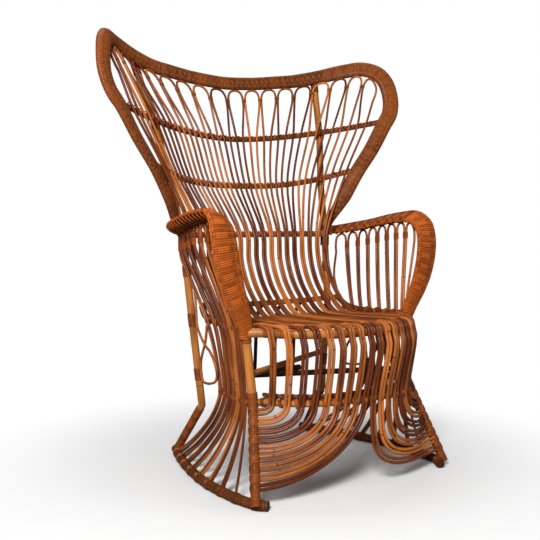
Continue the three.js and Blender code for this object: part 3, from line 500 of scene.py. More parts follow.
def roll(line, wide, high=None, across=None, sides=8, tone=0.5, square=1.0):
    """A grid rolled round a line into a length of cane. Its UV is the share of the way round and
    the metres along, and `tone` is kept as an attribute."""
    line = np.asarray(line, float)
    rings = len(line)
    bpy.ops.object.select_all(action="DESELECT")
    bpy.ops.mesh.primitive_grid_add(
        x_subdivisions=sides, y_subdivisions=rings - 1, size=1, calc_uvs=True)
    cane = bpy.context.object
    mesh = cane.data
    flat = np.empty(len(mesh.vertices) * 3)
    mesh.vertices.foreach_get("co", flat)
    flat = flat.reshape(-1, 3) + 0.5
    j = np.rint(flat[:, 1] * (rings - 1)).astype(int)
    angle = 2 * np.pi * np.rint(flat[:, 0] * sides) % (2 * np.pi * sides) / sides
    cos, sin = (np.sign(f) * abs(f) ** square for f in (np.cos(angle), np.sin(angle)))

    if across is None:
        ways = tangents(line)
        side = np.cross(ways[0], (0, 0, 1) if abs(ways[0][2]) < 0.9 else (1, 0, 0))
        across = np.empty_like(line)
        for i, way in enumerate(ways):
            side = side - way * side.dot(way)
            side /= np.linalg.norm(side)
            across[i] = side
    across, over = square_ways(line, across)
    wide = np.broadcast_to(wide, rings)
    high = wide if high is None else np.broadcast_to(high, rings)
    place = line[j] + across[j] * (cos * wide[j])[:, None] + over[j] * (sin * high[j])[:, None]
    share = np.clip((place[:, 2] - ARM_Z) / HOOD_TILT_RISE, 0, 1)
    place[:, 2] += HOOD_TILT * share * place[:, 0]
    mesh.vertices.foreach_set("co", (place + (0, FRONT_Y, 0)).ravel())

    run = np.concatenate(([0], np.cumsum(np.linalg.norm(np.diff(line, axis=0), axis=1))))
    uv = np.empty(len(mesh.loops) * 2)
    mesh.uv_layers.active.data.foreach_get("uv", uv)
    uv = uv.reshape(-1, 2)
    uv[:, 1] = run[np.rint(uv[:, 1] * (rings - 1)).astype(int)]
    mesh.uv_layers.active.data.foreach_set("uv", uv.ravel())
    mesh.uv_layers.active.name = "UVMap"
    tones = mesh.attributes.new("tone", "FLOAT", "POINT")
    tones.data.foreach_set("value", np.broadcast_to(tone, rings)[j].astype(np.float32))
    return cane


def finish(lengths, name, material, slot, *nodes):
    """Joins lengths of cane into one piece that stands for CAD nodes, closed and smooth."""
    bpy.ops.object.select_all(action="DESELECT")
    for length in lengths:
        length.select_set(True)
    piece = lengths[0]
    bpy.context.view_layer.objects.active = piece
    if len(lengths) > 1:
        bpy.ops.object.join()
    bpy.ops.object.mode_set(mode="EDIT")
    bpy.ops.mesh.select_all(action="SELECT")
    bpy.ops.mesh.remove_doubles(threshold=1e-7)
    bpy.ops.mesh.select_all(action="SELECT")
    bpy.ops.mesh.fill_holes(sides=0)
    bpy.ops.mesh.select_all(action="SELECT")
    bpy.ops.mesh.normals_make_consistent(inside=False)
    bpy.ops.object.mode_set(mode="OBJECT")
    bpy.ops.object.shade_smooth_by_angle(angle=0.9)
    piece.name = piece.data.name = name
    piece.data.materials.clear()
    piece.data.materials.append(material)
    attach(piece, "root")
    if nodes:
        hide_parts(*nodes)
    return piece


def helix(middle, axis, across, half_width, half_depth, turns, pitch):
    """A line wound round an oval bundle whose length lies along `axis`."""
    axis, across = unit(np.asarray(axis, float)), np.asarray(across, float)
    across = unit(across - axis * across.dot(axis))
    out = np.cross(axis, across)
    angle = np.linspace(0, turns * 2 * np.pi, int(turns * 10) + 1)[:, None]
    along = (angle / (2 * np.pi) - turns / 2) * pitch
    return (middle + along * axis + np.cos(angle) * half_width * across
            + np.sin(angle) * half_depth * out)


def ridged(line, radius, pitch, relief=RELIEF):
    """The points and radii of a wrapped length: the wrap stands up once in each pitch."""
    path = Line(line)
    turns = max(int(path.length / pitch), 2)
    shares = np.linspace(0, 1, turns * 3 + 1)
    rise = np.where(np.arange(len(shares)) % 3, relief, 0)
    radii = np.interp(shares, path.run / path.length, np.broadcast_to(radius, len(path.run)))
    return path.place(shares), radii + rise


def wrapped(line, radius, pitch, tone, sides=16):
    """A length with a wrap."""
    path, radii = ridged(line, radius, pitch)
    return roll(path, radii, sides=sides, tone=tone)


def tie(tone, way, *turns):
    """A thin binding, on the right for `way` 1 and on the left for -1."""
    radius = bpy.context.scene.chair_sizes.binding
    return roll(sided(helix(*turns), way), radius, sides=5, tone=tone)


# Materials
class Value:
    """A number that changes over a surface. Python's operators on it add Math nodes."""

    def __init__(self, shade, socket):
        self.shade, self.socket = shade, socket

    def math(self, operation, *others, first=True):
        terms = (self, *others) if first else (*others, self)
        node = self.shade.node("Math", dict(enumerate(terms)), operation=operation)
        return Value(self.shade, node.outputs[0])

    def __add__(self, other):
        return self.math("ADD", other)

    def __sub__(self, other):
        return self.math("SUBTRACT", other)

    def __mul__(self, other):
        return self.math("MULTIPLY", other)

    def __truediv__(self, other):
        return self.math("DIVIDE", other)

    def __rsub__(self, other):
        return self.math("SUBTRACT", other, first=False)

    __radd__, __rmul__ = __add__, __mul__

    def __gt__(self, other):
        return self.math("GREATER_THAN", other)

    def part(self):
        return self.math("FRACT")

    def whole(self):
        return self.math("FLOOR")

    def size(self):
        return self.math("ABSOLUTE")

    def ease(self, low, high):
        """0 below `low`, 1 above `high`, and smooth between."""
        node = self.shade.node(
            "MapRange", {"Value": self, "From Min": low, "From Max": high},
            interpolation_type="SMOOTHSTEP")
        return Value(self.shade, node.outputs[0])


class Shade:
    """The node tree of one material."""

    def __init__(self, name):
        self.material = bpy.data.materials.new(name)
        self.material.use_nodes = True
        self.tree = self.material.node_tree
        self.tree.nodes.clear()

    def node(self, kind, inputs=None, **settings):
        made = self.tree.nodes.new("ShaderNode" + kind)
        for key, value in settings.items():
            setattr(made, key, value)
        for key, value in (inputs or {}).items():
            source = value.socket if isinstance(value, Value) else value
            if isinstance(source, bpy.types.NodeSocket):
                self.tree.links.new(source, made.inputs[key])
            else:
                made.inputs[key].default_value = source
        return made

    def out(self, kind, output, inputs=None, **settings):
        return Value(self, self.node(kind, inputs, **settings).outputs[output])

    def lengthwise(self):
        """The share of the way round a cane, the metres along it, and its own tone."""
        uv = self.node("UVMap", uv_map="UVMap")
        split = self.node("SeparateXYZ", {"Vector": uv.outputs[0]})
        tone = self.out("Attribute", "Fac", attribute_name="tone")
        return Value(self, split.outputs[0]), Value(self, split.outputs[1]), tone

    def point(self, x, y, z):
        return self.node("CombineXYZ", {0: x, 1: y, 2: z}).outputs[0]

    def noise(self, vector, scale=1.0, detail=3.0):
        return self.out("TexNoise", "Fac", {"Vector": vector, "Scale": scale, "Detail": detail})

    def fibres(self, around, along, own, detail=2.0):
        """Noise that is drawn out along a cane, by its scale round it, along it and by its tone."""
        return self.noise(self.point(*(value * scale for value, scale in zip(
            self.lengthwise(), (around, along, own)))), 1.0, detail)

    def grain(self, scale, detail=3.0):
        place = self.node("TexCoord").outputs["Object"]
        return self.noise(place, scale, detail)

    def mix(self, low, high, share):
        """A colour between two others."""
        low, high = ((*c, 1) if isinstance(c, tuple) else c for c in (low, high))
        node = self.node("Mix", {0: share, 6: low, 7: high}, data_type="RGBA")
        return node.outputs[2]

    def rattan(self, colour, roughness, height, depth=0.0006, coat=0.1):
        bump = self.node("Bump", {"Height": height, "Distance": depth, "Strength": 1.0})
        shader = self.node("BsdfPrincipled", {
            "Base Color": colour, "Roughness": roughness, "Normal": bump.outputs[0],
            "Coat Weight": coat, "Coat Roughness": 0.18,
            "Specular IOR Level": 0.14})
        self.node("OutputMaterial", {"Surface": shader.outputs[0]})
        return self.material


def chosen(name):
    """One of the colours in the panel."""
    return tuple(getattr(bpy.context.scene.chair_colours, name))


def shade_of(colour, factor):
    return tuple(min(channel * factor, 1) for channel in colour)


def shared(build):
    """Builds a material once, and finds it by its name from then on."""
    def find(name, *terms, **settings):
        return bpy.data.materials.get(name) or build(name, *terms, **settings)
    return find


@shared
def cane_material(name):
    light, dark = chosen("cane_light"), chosen("cane_dark")
    shade = Shade(name)
    _, along, tone = shade.lengthwise()
    streaks, fibres = shade.fibres(3, 9, 37), shade.fibres(22, 25, 11)
    blotch = shade.grain(9.0)
    share = tone * 0.75 + (streaks - 0.5) * 1.1 + (blotch - 0.5) * 0.9 + (fibres - 0.5) * 0.35
    joint = 1 - ((along / 0.31 + tone * 7).part() - 0.5).size().ease(0.002, 0.008)
    colour = shade.mix(dark, light, share.ease(-0.05, 1.15))
    colour = shade.mix(colour, shade_of(dark, 0.6), joint * 0.75)
    roughness = 0.3 + fibres * 0.22 + joint * 0.2
    return shade.rattan(colour, roughness, fibres * 0.35 + joint * 1.2)


@shared
def pole_material(name):
    # The dark pole takes the darkest cane colour: painted shade for the poles under and behind the
    # seat
    base = chosen("cane_dark" if name == "Dark pole" else "pole")
    shade = Shade(name)
    _, along, tone = shade.lengthwise()
    streaks, fibres = shade.fibres(4, 14, 37, 3.0), shade.fibres(40, 30, 11)
    specks = shade.grain(420.0, 1.0).ease(0.66, 0.76)
    joint = 1 - ((along / 0.19 + tone * 5).part() - 0.5).size().ease(0.004, 0.014)
    colour = shade.mix(shade_of(base, 0.5), shade_of(base, 1.15),
                       (streaks + (tone - 0.5) * 0.6).ease(0.2, 0.75))
    colour = shade.mix(colour, shade_of(base, 0.28), specks * 0.4 + joint * 0.6)
    roughness = 0.34 + fibres * 0.2
    return shade.rattan(colour, roughness, fibres * 0.3 + joint * 1.0)


@shared
def wrap_material(name, colour, pitch, columns, dots, bundle=1, start=0.0):
    """Cane wound round a piece, with strands that cross the turns over and under, in blocks of
    some turns. The crossings begin at `start` along the piece. Each turn has a tone of its own.
    Painted shade darkens the gaps between the turns and the edges of the crossing strands, and,
    where the tone is below zero, the underside."""
    shade = Shade(name)
    around, along, tone = shade.lengthwise()
    turn = along / pitch
    row, column = (turn / bundle).whole(), (around * columns).whole()
    each = shade.out("TexWhiteNoise", 0, {"Vector": shade.point(turn.whole(), tone.whole(), 0)},
                     noise_dimensions="3D")
    ridge = (turn.part() - 0.5).size()
    block = ((turn / bundle).part() - 0.5).size()
    strand = ((around * columns).part() - 0.5).size()
    over = (((row + column) / 2).part() > 0.25) * (along > start)
    # Masks of the gaps between the turns and of the strands' edges: they carry painted shade and
    # the bump
    gap = ridge.ease(0.3, 0.5)
    edge = strand.ease(0.32, 0.5)
    low = min(0.1 * bundle, 0.26)
    crossing = over * (1 - strand.ease(low, low + 0.2)) * (1 - block.ease(low + 0.1, 0.47))
    streaks = shade.grain(60.0)
    blotch = shade.grain(7.0)
    share = each * 0.35 + streaks * 0.55 + blotch * 0.7 + tone * 0.3
    made = shade.mix(shade_of(colour, 0.45), shade_of(colour, 1.45), share.ease(0.5, 1.4))
    made = shade.mix(made, shade_of(colour, 2.1), crossing * dots)
    # Painted shade: the gaps between the turns and the edges of the crossing strands are darkened
    made = shade.mix(made, shade_of(colour, 0.2), gap * 0.75 + edge * over * dots * 0.7)
    # Painted shade: where the tone is below zero, the underside is mixed towards near black
    under = 1 - (around - 0.25).size().ease(0.2, 0.27)
    made = shade.mix(made, shade_of(colour, 0.08), (0 - tone).ease(0.0, 1.0) * under)
    height = (1 - gap) * 0.8 + crossing * dots * bundle + (1 - edge * over * dots) * 0.4
    return shade.rattan(made, 0.36 + streaks * 0.25, height, 0.0009, coat=0.05)


def binding_material():
    return wrap_material("Cane binding", chosen("wrap"), 0.0028, 3, 0)


@shared
def thin_material(name):
    """Thin round strands of the bindings."""
    colour = chosen("wrap")
    shade = Shade(name)
    _, _, tone = shade.lengthwise()
    streaks = shade.fibres(3, 60, 37)
    blotch = shade.grain(14.0)
    made = shade.mix(shade_of(colour, 0.4), shade_of(colour, 1.7),
                     (tone * 0.6 + streaks * 0.5 + blotch * 0.5).ease(0.35, 1.25))
    return shade.rattan(made, 0.35 + streaks * 0.2, streaks, 0.0004, coat=0.05)


class PieceOperator:
    bl_options = {"REGISTER", "UNDO"}

    def execute(self, context):
        self.make(context.scene.chair_sizes)
        return {"FINISHED"}


class CHAIR_OT_stage(bpy.types.Operator):
    """Adds the camera, the lamps, the pale floor and the white surroundings"""
    bl_idname = "chair.stage"
    bl_label = "Stage"

    def execute(self, context):
        scene = context.scene
        scene.view_settings.view_transform = "Standard"
        bpy.ops.object.camera_add(
            location=(-1.274, -1.5327 + FRONT_Y, 0.6331),
            rotation=(np.radians(86.78), 0, np.radians(-35.3)))
        scene.camera = context.object
        scene.camera.data.lens = 53.33
        scene.camera.data.clip_start = 0.02

        for name, place, aim, size, power in (
                ("Key", (-2.2, -2.1, 2.1), (0, 0, 0.5), 0.8, 150),
                ("Fill", (2.4, -2.2, 1.6), (0, 0, 0.5), 1.6, 15),
                ("Top", (0.3, 0.9, 3.2), (0, 0, 0.6), 1.6, 18)):
            bpy.ops.object.light_add(type="AREA", location=place)
            lamp = context.object
            lamp.name = name
            lamp.data.size = size
            lamp.data.energy = power
            way = at(*aim) - at(*place)
            lamp.rotation_euler = (
                np.arccos(-way[2] / np.linalg.norm(way)), 0, np.arctan2(-way[0], way[1]))

        bpy.ops.mesh.primitive_plane_add(size=30)
        floor = context.object
        floor.name = "floor"
        shade = Shade("Pale floor")
        place = shade.node("TexCoord").outputs["Object"]
        reach = shade.out("VectorMath", "Value", {0: place}, operation="LENGTH")
        ray = shade.out("LightPath", "Is Camera Ray")
        pale = chosen("floor")
        plain = shade.node("BsdfDiffuse", {"Color": shade.mix(shade_of(pale, 0.4), pale, ray)})
        white = shade.node("Emission", {"Color": (1, 1, 1, 1), "Strength": 1.0})
        mixed = shade.node("MixShader", {
            0: reach.ease(0.25, 0.95) * ray, 1: plain.outputs[0], 2: white.outputs[0]})
        shade.node("OutputMaterial", {"Surface": mixed.outputs[0]})
        floor.data.materials.append(shade.material)

        world = bpy.data.worlds.new("White surroundings")
        scene.world = world
        world.use_nodes = True
        tree = world.node_tree
        tree.nodes.clear()
        rays = tree.nodes.new("ShaderNodeLightPath")
        soft = tree.nodes.new("ShaderNodeBackground")
        soft.inputs["Strength"].default_value = 0.1
        white = tree.nodes.new("ShaderNodeBackground")
        mixer = tree.nodes.new("ShaderNodeMixShader")
        surface = tree.nodes.new("ShaderNodeOutputWorld")
        for background in (soft, white):
            background.inputs["Color"].default_value = (1, 1, 1, 1)
        tree.links.new(rays.outputs["Is Camera Ray"], mixer.inputs[0])
        tree.links.new(soft.outputs[0], mixer.inputs[1])
        tree.links.new(white.outputs[0], mixer.inputs[2])
        tree.links.new(mixer.outputs[0], surface.inputs["Surface"])
        return {"FINISHED"}


# The length of a pole that one turn of its wrap covers
RUNNER_TURN, LEG_TURN, POST_TURN, JOINT_TURN, BAND_TURN = 0.006, 0.0032, 0.003, 0.0035, 0.0042


class CHAIR_OT_runners(PieceOperator, bpy.types.Operator):
    """Adds the two wrapped runners"""
    bl_idname = "chair.runners"
    bl_label = "Runners"

    def make(self, sizes):
        colour = shade_of(chosen("weave"), 0.75)
        material = wrap_material("Runner wrap", colour, RUNNER_TURN, 5, 0.25)
        for name, way in BOTH:
            line = sided(RUNNER_LINE.points, way)
            finish([wrapped(line, sizes.runner - RELIEF, RUNNER_TURN, 0.3)],
                   "wrapped_runner_" + name, material, "pole", "runner_" + name)


# A front leg: the heights of its bends, its wraps with their ends and radius, and the wrap at each
# pair of the skirt
LEG_HEIGHTS = np.array([ARM_BASE_Z, 0.3, 0.24, WAIST_Z, 0.205, 0.1, FOOT[2]])
LEG_WRAPS = ((FOOT[2], 0.21, 0.0107), (0.206, 0.246, 0.0124), (0.36, 0.373, 0.0124))
PAIR_WRAP_HALF, PAIR_WRAP_RADIUS, PAIR_WRAP_SWELL = 0.009, 0.0112, 0.0016


class CHAIR_OT_legs(PieceOperator, bpy.types.Operator):
    """Adds the front legs with their wrapped feet and knees"""
    bl_idname = "chair.legs"
    bl_label = "Front legs"

    def make(self, sizes):
        def leg(heights, way):
            return sided([leg_at(z) for z in heights], way)

        for name, way in BOTH:
            steps = 6
            line = flowing(leg(LEG_HEIGHTS, way), steps)
            radii = np.where(LEG_HEIGHTS > WAIST_Z - 0.01, sizes.front_pole, sizes.foot_pole)
            bare = roll(line, np.repeat(radii, steps)[:len(line)], sides=20, tone=0.7)
            finish([bare], "front_leg_pole_" + name, pole_material("Bare pole"), "pole",
                   "front_leg_" + name)
            wraps = [wrapped(leg(np.linspace(low, high, 12), way), radius, LEG_TURN, 0.5)
                     for low, high, radius in LEG_WRAPS]
            swell = PAIR_WRAP_RADIUS + PAIR_WRAP_SWELL * np.sin(np.linspace(0, np.pi, 7)) ** 0.5
            for nest in range(BACK_LOOPS // 2):
                z = FIRST_PAIR_Z - nest * FOOT_PITCH
                heights = np.linspace(z - PAIR_WRAP_HALF, z + PAIR_WRAP_HALF, 7)
                wraps.append(roll(leg(heights, way), swell, sides=16, tone=0.25 + 0.5 * (nest % 2)))
            finish(wraps, "front_leg_wraps_" + name, binding_material(), "wrap")


class CHAIR_OT_posts(PieceOperator, bpy.types.Operator):
    """Adds the rear posts with their bindings"""
    bl_idname = "chair.posts"
    bl_label = "Rear posts"

    def make(self, sizes):
        for name, way in BOTH:
            line = Line(sided(post_points(), way))
            finish([roll(line.place(np.linspace(0, 1, 160)), sizes.rear_pole, sides=20, tone=0.55)],
                   "rear_post_pole_" + name, pole_material("Bare pole"), "pole",
                   "rear_post_" + name)
            _, upper, middle, arm, seat, waist, kink, _ = line.run / line.length
            wraps = []
            for share, half in (
                    (blend(waist, seat, 0.94), 0.0175), (blend(waist, seat, 0.1), 0.016),
                    (blend(seat, arm, 0.56), 0.015), (arm, 0.02), (middle, 0.016), (upper, 0.016),
                    (0.022 / line.length, 0.023),
                    (blend(kink, 1, 0.52), line.length * (1 - kink) * 0.46)):
                reach = half / line.length
                shares = np.clip(np.linspace(share - reach, share + reach, 9), 0, 1)
                wraps.append(wrapped(line.place(shares), sizes.rear_pole + 0.0009, POST_TURN, 0.4))
            finish(wraps, "rear_post_bindings_" + name, binding_material(), "wrap")


class CHAIR_OT_rails(PieceOperator, bpy.types.Operator):
    """Adds the rails, the braces and the uprights behind the seat"""
    bl_idname = "chair.rails"
    bl_label = "Rails and braces"

    def make(self, sizes):
        def pole(name, points, radius, node, tone=0.5, steps=6, kind="Bare pole"):
            finish([roll(flowing(points, steps), radius, sides=16, tone=tone)], name,
                   pole_material(kind), "pole", node)

        rail, steps = bowed_rail(SEAT_ARC, SEAT_RAIL_Z), 6
        pole("seat_rail_pole", rail, sizes.seat_rail, "seat_front_rail", tone=0.65)
        finish([wrapped(flowing(rail, steps)[first * steps:last * steps], sizes.seat_rail - 0.0002,
                        LEG_TURN, 0.3) for first, last in ((2, 6), (9, 20))],
               "seat_rail_wraps", binding_material(), "wrap")
        pole("waist_rail_pole", bowed_rail(WAIST_ARC, WAIST_Z), sizes.side_rail, "waist_front_rail")
        corner = behind_row(SEAT_ROW, SEAT_ROW["half"], SEAT_CORNER_GAP)
        first, last = (blend(*SEAT_LINE, share) for share in (0.55, 0.69))
        seat = [SEAT_LINE[0], first, blend(last, corner, 0.3), corner]
        waist = [blend(*WAIST_LINE, share) for share in (0, 0.25, 0.49)]
        # The side rails, the lower brace and the rear frame use the dark pole, painted shade
        for name, way in BOTH:
            for place, points in (("seat", seat), ("waist", waist)):
                pole(f"{place}_side_pole_{name}", sided(points, way), sizes.side_rail,
                     f"{place}_side_rail_{name}", tone=0.8, kind="Dark pole")
        rear = [at(x, WAIST_REAR_DEPTH, WAIST_Z) for x in (-REAR_RAIL_HALF, 0, REAR_RAIL_HALF)]
        upper = [flip(leg_at(BRACE_FRONT_Z)), knee_at(BRACE_REAR_Z)]
        pole("brace_upper_pole", upper, sizes.brace, "cross_brace_upper", tone=0.6, steps=30)
        pole("brace_lower_pole", [leg_at(BRACE_Z), rear[0]], sizes.brace, "cross_brace_lower",
             tone=0.2, steps=30, kind="Dark pole")
        parts = [roll(flowing(rear, 12), sizes.side_rail, sides=16, tone=0.2)]
        for i in range(UPRIGHTS):
            x = (i - (UPRIGHTS - 1) / 2) * UPRIGHT_PITCH
            points = [behind_row(SEAT_ROW, x, UPRIGHT_GAP), at(x, UPRIGHT_Y, SIDE_RAIL_Z),
                      at(x, WAIST_REAR_DEPTH, WAIST_Z)]
            parts.append(roll(flowing(points, 10), sizes.upright, sides=10, tone=0.1))
        finish(parts, "rear_frame_poles", pole_material("Dark pole"), "pole", "rear_frame")


# Beads along the rim's edges: their pitch, how far they are set in, and their radius
BEAD_PITCH, BEAD_INSET, BEAD_RADIUS, BEAD_SWELL = 0.0065, 0.0012, 0.0016, 0.0012
RIM_RELIEF = 0.0005


class CHAIR_OT_rim(PieceOperator, bpy.types.Operator):
    """Adds the woven rim of the hood"""
    bl_idname = "chair.rim"
    bl_label = "Hood rim"

    def make(self, sizes):
        line, rise = ridged(RIM.points, 0, sizes.weave_pitch, RIM_RELIEF)
        across = np.cross([rim_normal(point) for point in line], tangents(line))
        wide = np.array([rim_half_width(point) for point in line]) - RIM_RELIEF
        high = RIM_THICKNESS / 2 - RIM_RELIEF
        colour = chosen("weave")
        material = wrap_material("Rim weave", colour, sizes.weave_pitch, 10, 0.35, bundle=2)
        tone = 0.3 + 1.4 * np.abs(line[:, 0] / HOOD_HALF) ** 6
        parts = [roll(line, wide + rise, high + rise, across, sides=24, tone=tone, square=FLAT)]
        path = Line(line)
        shares = np.linspace(0, 1, int(path.length / 0.0015))
        run = shares * path.length
        ways = np.stack([np.interp(run, path.run, part) for part in across.T], 1)
        wide = np.interp(run, path.run, wide)
        for k in range(2):
            beads = np.cos(run / BEAD_PITCH * np.pi + k * np.pi / 2) ** 2
            edge = on_skin(path.place(shares), wide - BEAD_INSET, high * 0.8, ways, 0.04 - 0.54 * k)
            parts.append(roll(edge, BEAD_RADIUS + BEAD_SWELL * beads, sides=8, tone=1.4))
        finish(parts, "woven_rim", material, "wrap", "hood_rim")


# Arms: the ribs below their rear half, and the joints with the rear posts
ARM_RELIEF, RIB_START, RIB_PITCH, RIB_OUT, RIB_LIFT = 0.0011, 0.52, 0.018, 0.0008, (0.0014, -0.003)
EDGE_START, EDGES = 20, ((0.03, 0.0026, 2.4), (0.47, 0.0022, 1.6))
JOINT_HALF, JOINT_RADII = 0.03, (0.0115, 0.0125, 0.0095)


class CHAIR_OT_arms(PieceOperator, bpy.types.Operator):
    """Adds the woven arms"""
    bl_idname = "chair.arms"
    bl_label = "Arms"

    def make(self, sizes):
        colour = chosen("arm_weave")
        material = wrap_material("Arm weave", colour, ARM_TURN, 5, 0.45, bundle=3, start=0.085)
        plain = wrap_material("Arm joint wrap", shade_of(colour, 0.7), JOINT_TURN, 3, 0)
        line, rise = ridged(ARM_LINE.points, 0, ARM_TURN, ARM_RELIEF)
        rise = rise - RELIEF
        shares = np.linspace(0, 1, len(line))
        widths = np.interp(np.linspace(0, 1, len(ARM_LINE.points)),
                           np.linspace(0, 1, len(ARM_WIDTHS)), ARM_WIDTHS)
        wide = np.interp(shares, ARM_LINE.run / ARM_LINE.length, widths) * sizes.arm_width / 2
        high = np.full(len(line), ARM_THICKNESS / 2)
        level = tangents(line)[:, 1].clip(0)
        across = np.stack([np.ones(len(line)), np.zeros(len(line)), ARM_RISE * level], 1)
        edges = [(on_skin(line, wide, high, across, turn)[EDGE_START:], radius, tone)
                 for turn, radius, tone in EDGES]

        rear = shares > RIB_START
        count = rear.sum()
        turns = np.cumsum(np.full(count, ARM_LINE.length / len(line))) / RIB_PITCH
        fine = np.linspace(0, count - 1, count * 5)
        *course, out, turns = (np.interp(fine, np.arange(count), part)
                               for part in (*line[rear].T, wide[rear], turns))
        ribs = on_skin(np.stack(course, 1), out + RIB_OUT,
                       ARM_THICKNESS / 2 + np.where(turns % 1 < 0.5, *RIB_LIFT),
                       across[rear].mean(axis=0), turns)

        post = behind_row(ARM_ROW, POST_ROW_SHARES[-1] * ARM_ROW["half"], POST_GAP)
        end = ARM_POINTS[-1]
        joints = ([end - (0.002, 0.028, -0.001), end, post + (0.004, 0, 0.006)],
                  [post + (0, 0, JOINT_HALF), post - (0, 0, JOINT_HALF)],
                  [post, row_point(ARM_ROW, 0.9 * ARM_ROW["half"])])
        for name, way in BOTH:
            # The rear part's tone is below zero, so its underside is painted near black as shade
            # between the ribs
            parts = [roll(sided(line, way), wide + rise, high + rise, way * sided(across, way),
                          sides=24, tone=0.9 - 1.9 * rear, square=FLAT)]
            for edge, radius, tone in edges:
                parts.append(roll(sided(edge, way), radius, sides=8, tone=tone))
            parts.append(roll(sided(ribs, way), 0.0019, sides=6, tone=2.6))
            finish(parts, "woven_arm_" + name, material, "wrap", "arm_" + name)
            finish([wrapped(sided(flowing(points, 8), way), radius, JOINT_TURN, 0.4, sides=14)
                    for points, radius in zip(joints, JOINT_RADII)],
                   "arm_end_wraps_" + name, plain, "wrap")


# A band: its distance behind the canes and its half sizes; a tie's half sizes, its turns, their
# pitch and their slant
BAND_GAP, BAND_HALF, BAND_FLATTENING = 0.0057, 0.008, 0.0048
BAND_TIE_HALF, BAND_TIE_DEPTH, BAND_TIE_TURNS, BAND_TIE_SLANT = 0.0082, 0.0058, (1.5, 0.0034), 0.45


class CHAIR_OT_bands(PieceOperator, bpy.types.Operator):
    """Adds the twined bands across the back"""
    bl_idname = "chair.bands"
    bl_label = "Back bands"

    def make(self, sizes):
        dark, pale = (
            wrap_material(name, shade_of(chosen("weave"), factor), BAND_TURN, 6, 0.3)
            for name, factor in (("Dark band", 0.7), ("Pale band", 1.5)))
        for name, row, cane, pitch, material, node in (
                ("upper", UPPER_ROW, sizes.hood_cane, UPPER_PITCH / 2, dark, "back_band_upper"),
                ("middle", MIDDLE_ROW, sizes.hood_cane, MIDDLE_PITCH / 2, pale,
                 "back_band_middle"),
                ("arm", ARM_ROW, sizes.back_cane, ARM_PITCH, pale, "back_band_arm_level"),
                ("seat", SEAT_ROW, sizes.back_cane, SEAT_PITCH, pale, "seat_back_rail")):
            behind = cane + BAND_GAP
            line, radii = ridged(
                [behind_row(row, x, behind) for x in np.linspace(-row["half"], row["half"], 60)],
                BAND_HALF, BAND_TURN, 0.0005)
            band = roll(line, radii, radii - BAND_FLATTENING, (0, row["lean"], 1), sides=16,
                        tone=0.5, square=0.8)
            finish([band], name + "_band", material, "cane", node)
            count = int(2 * row["half"] / pitch) - 1
            parts = []
            for k in range(count):
                x = (k - (count - 1) / 2) * pitch
                normal = row_normal(row, x)
                along = unit(row_point(row, x + 0.001) - row_point(row, x - 0.001))
                upright = np.cross(along, normal)
                axis = along + BAND_TIE_SLANT * upright * (1 if k % 2 else -1)
                parts.append(tie(
                    (k * 0.37) % 1, 1, row_point(row, x) + normal * behind / 2, axis, upright,
                    BAND_TIE_HALF, BAND_TIE_DEPTH + cane / 2, *BAND_TIE_TURNS))
            finish(parts, name + "_band_ties", thin_material("Thin cane"), "cane")


class CHAIR_OT_back_canes(PieceOperator, bpy.types.Operator):
    """Adds the loops of cane that make the back, the seat and the skirt"""
    bl_idname = "chair.back_canes"
    bl_label = "Back canes"

    def make(self, sizes):
        tones = np.random.default_rng(5).permutation(BACK_LOOPS) / (BACK_LOOPS - 1)
        for number in range(1, BACK_LOOPS + 1):
            points, radii = back_loop(number)
            steps = 5
            line = flowing(points, steps)
            radii = np.interp(np.arange(len(line)) / steps, np.arange(len(points)), radii)
            finish([roll(line, radii, sides=8, tone=tones[number - 1])],
                   f"back_loop_{number:02d}", cane_material("Varnished cane"), "cane",
                   f"back_cane_{number:02d}")


class CHAIR_OT_side_canes(PieceOperator, bpy.types.Operator):
    """Adds the loops of cane under the arms"""
    bl_idname = "chair.side_canes"
    bl_label = "Side canes"

    def make(self, sizes):
        tones = np.random.default_rng(8).random((SIDE_LOOPS, 2))
        for name, way in BOTH:
            half = RIGHT_SIDE if way > 0 else LEFT_SIDE
            for loop in range(SIDE_LOOPS):
                line = flowing(sided(side_loop(loop, half), way), 5)
                tone = tones[loop, (way + 1) // 2]
                finish([roll(line, sizes.side_cane, sides=8, tone=tone)],
                       f"side_loop_{loop + 1}_{name}", cane_material("Varnished cane"), "cane",
                       f"side_cane_{loop + 1}_{name}")


# Half sizes of a binding's turns, how many it has and their pitch
LOOP_TIE, SIDE_LOOP_TIE = (0.0068, 0.0038, 4, 0.0021), (0.0079, 0.0044, 8, 0.0022)
RAIL_TIE, RUNNER_TIE = (0.0105, 0.0125, 2.5, 0.0028), (0.0125, 0.0125, 5, 0.0032)
WAIST_TIE = (0.0105, 0.0145, 3, 0.0032)
FOOT_COLUMNS, RUNNER_TIE_RADIUS = [0.035, 0.055], 0.0012
# The plait along the lip and the rope at the waist: how far their strands lie in from the rail, the
# height of the plait, the pitch and the swing of the strands, and their radii
LIP_PLACES = np.linspace(-0.236, 0.236, 220)
LIP_STRANDS, LIP_Z, LIP_SWING, LIP_RADIUS = (0.0165, 0.021, 0.0255), 0.3995, 0.0035, 0.0029
ROPE_PITCH, ROPE_SWING, ROPE_RADIUS, ROPE_IN, ROPE_UP = 0.03, 0.0028, 0.0046, 0.002, 0.0145


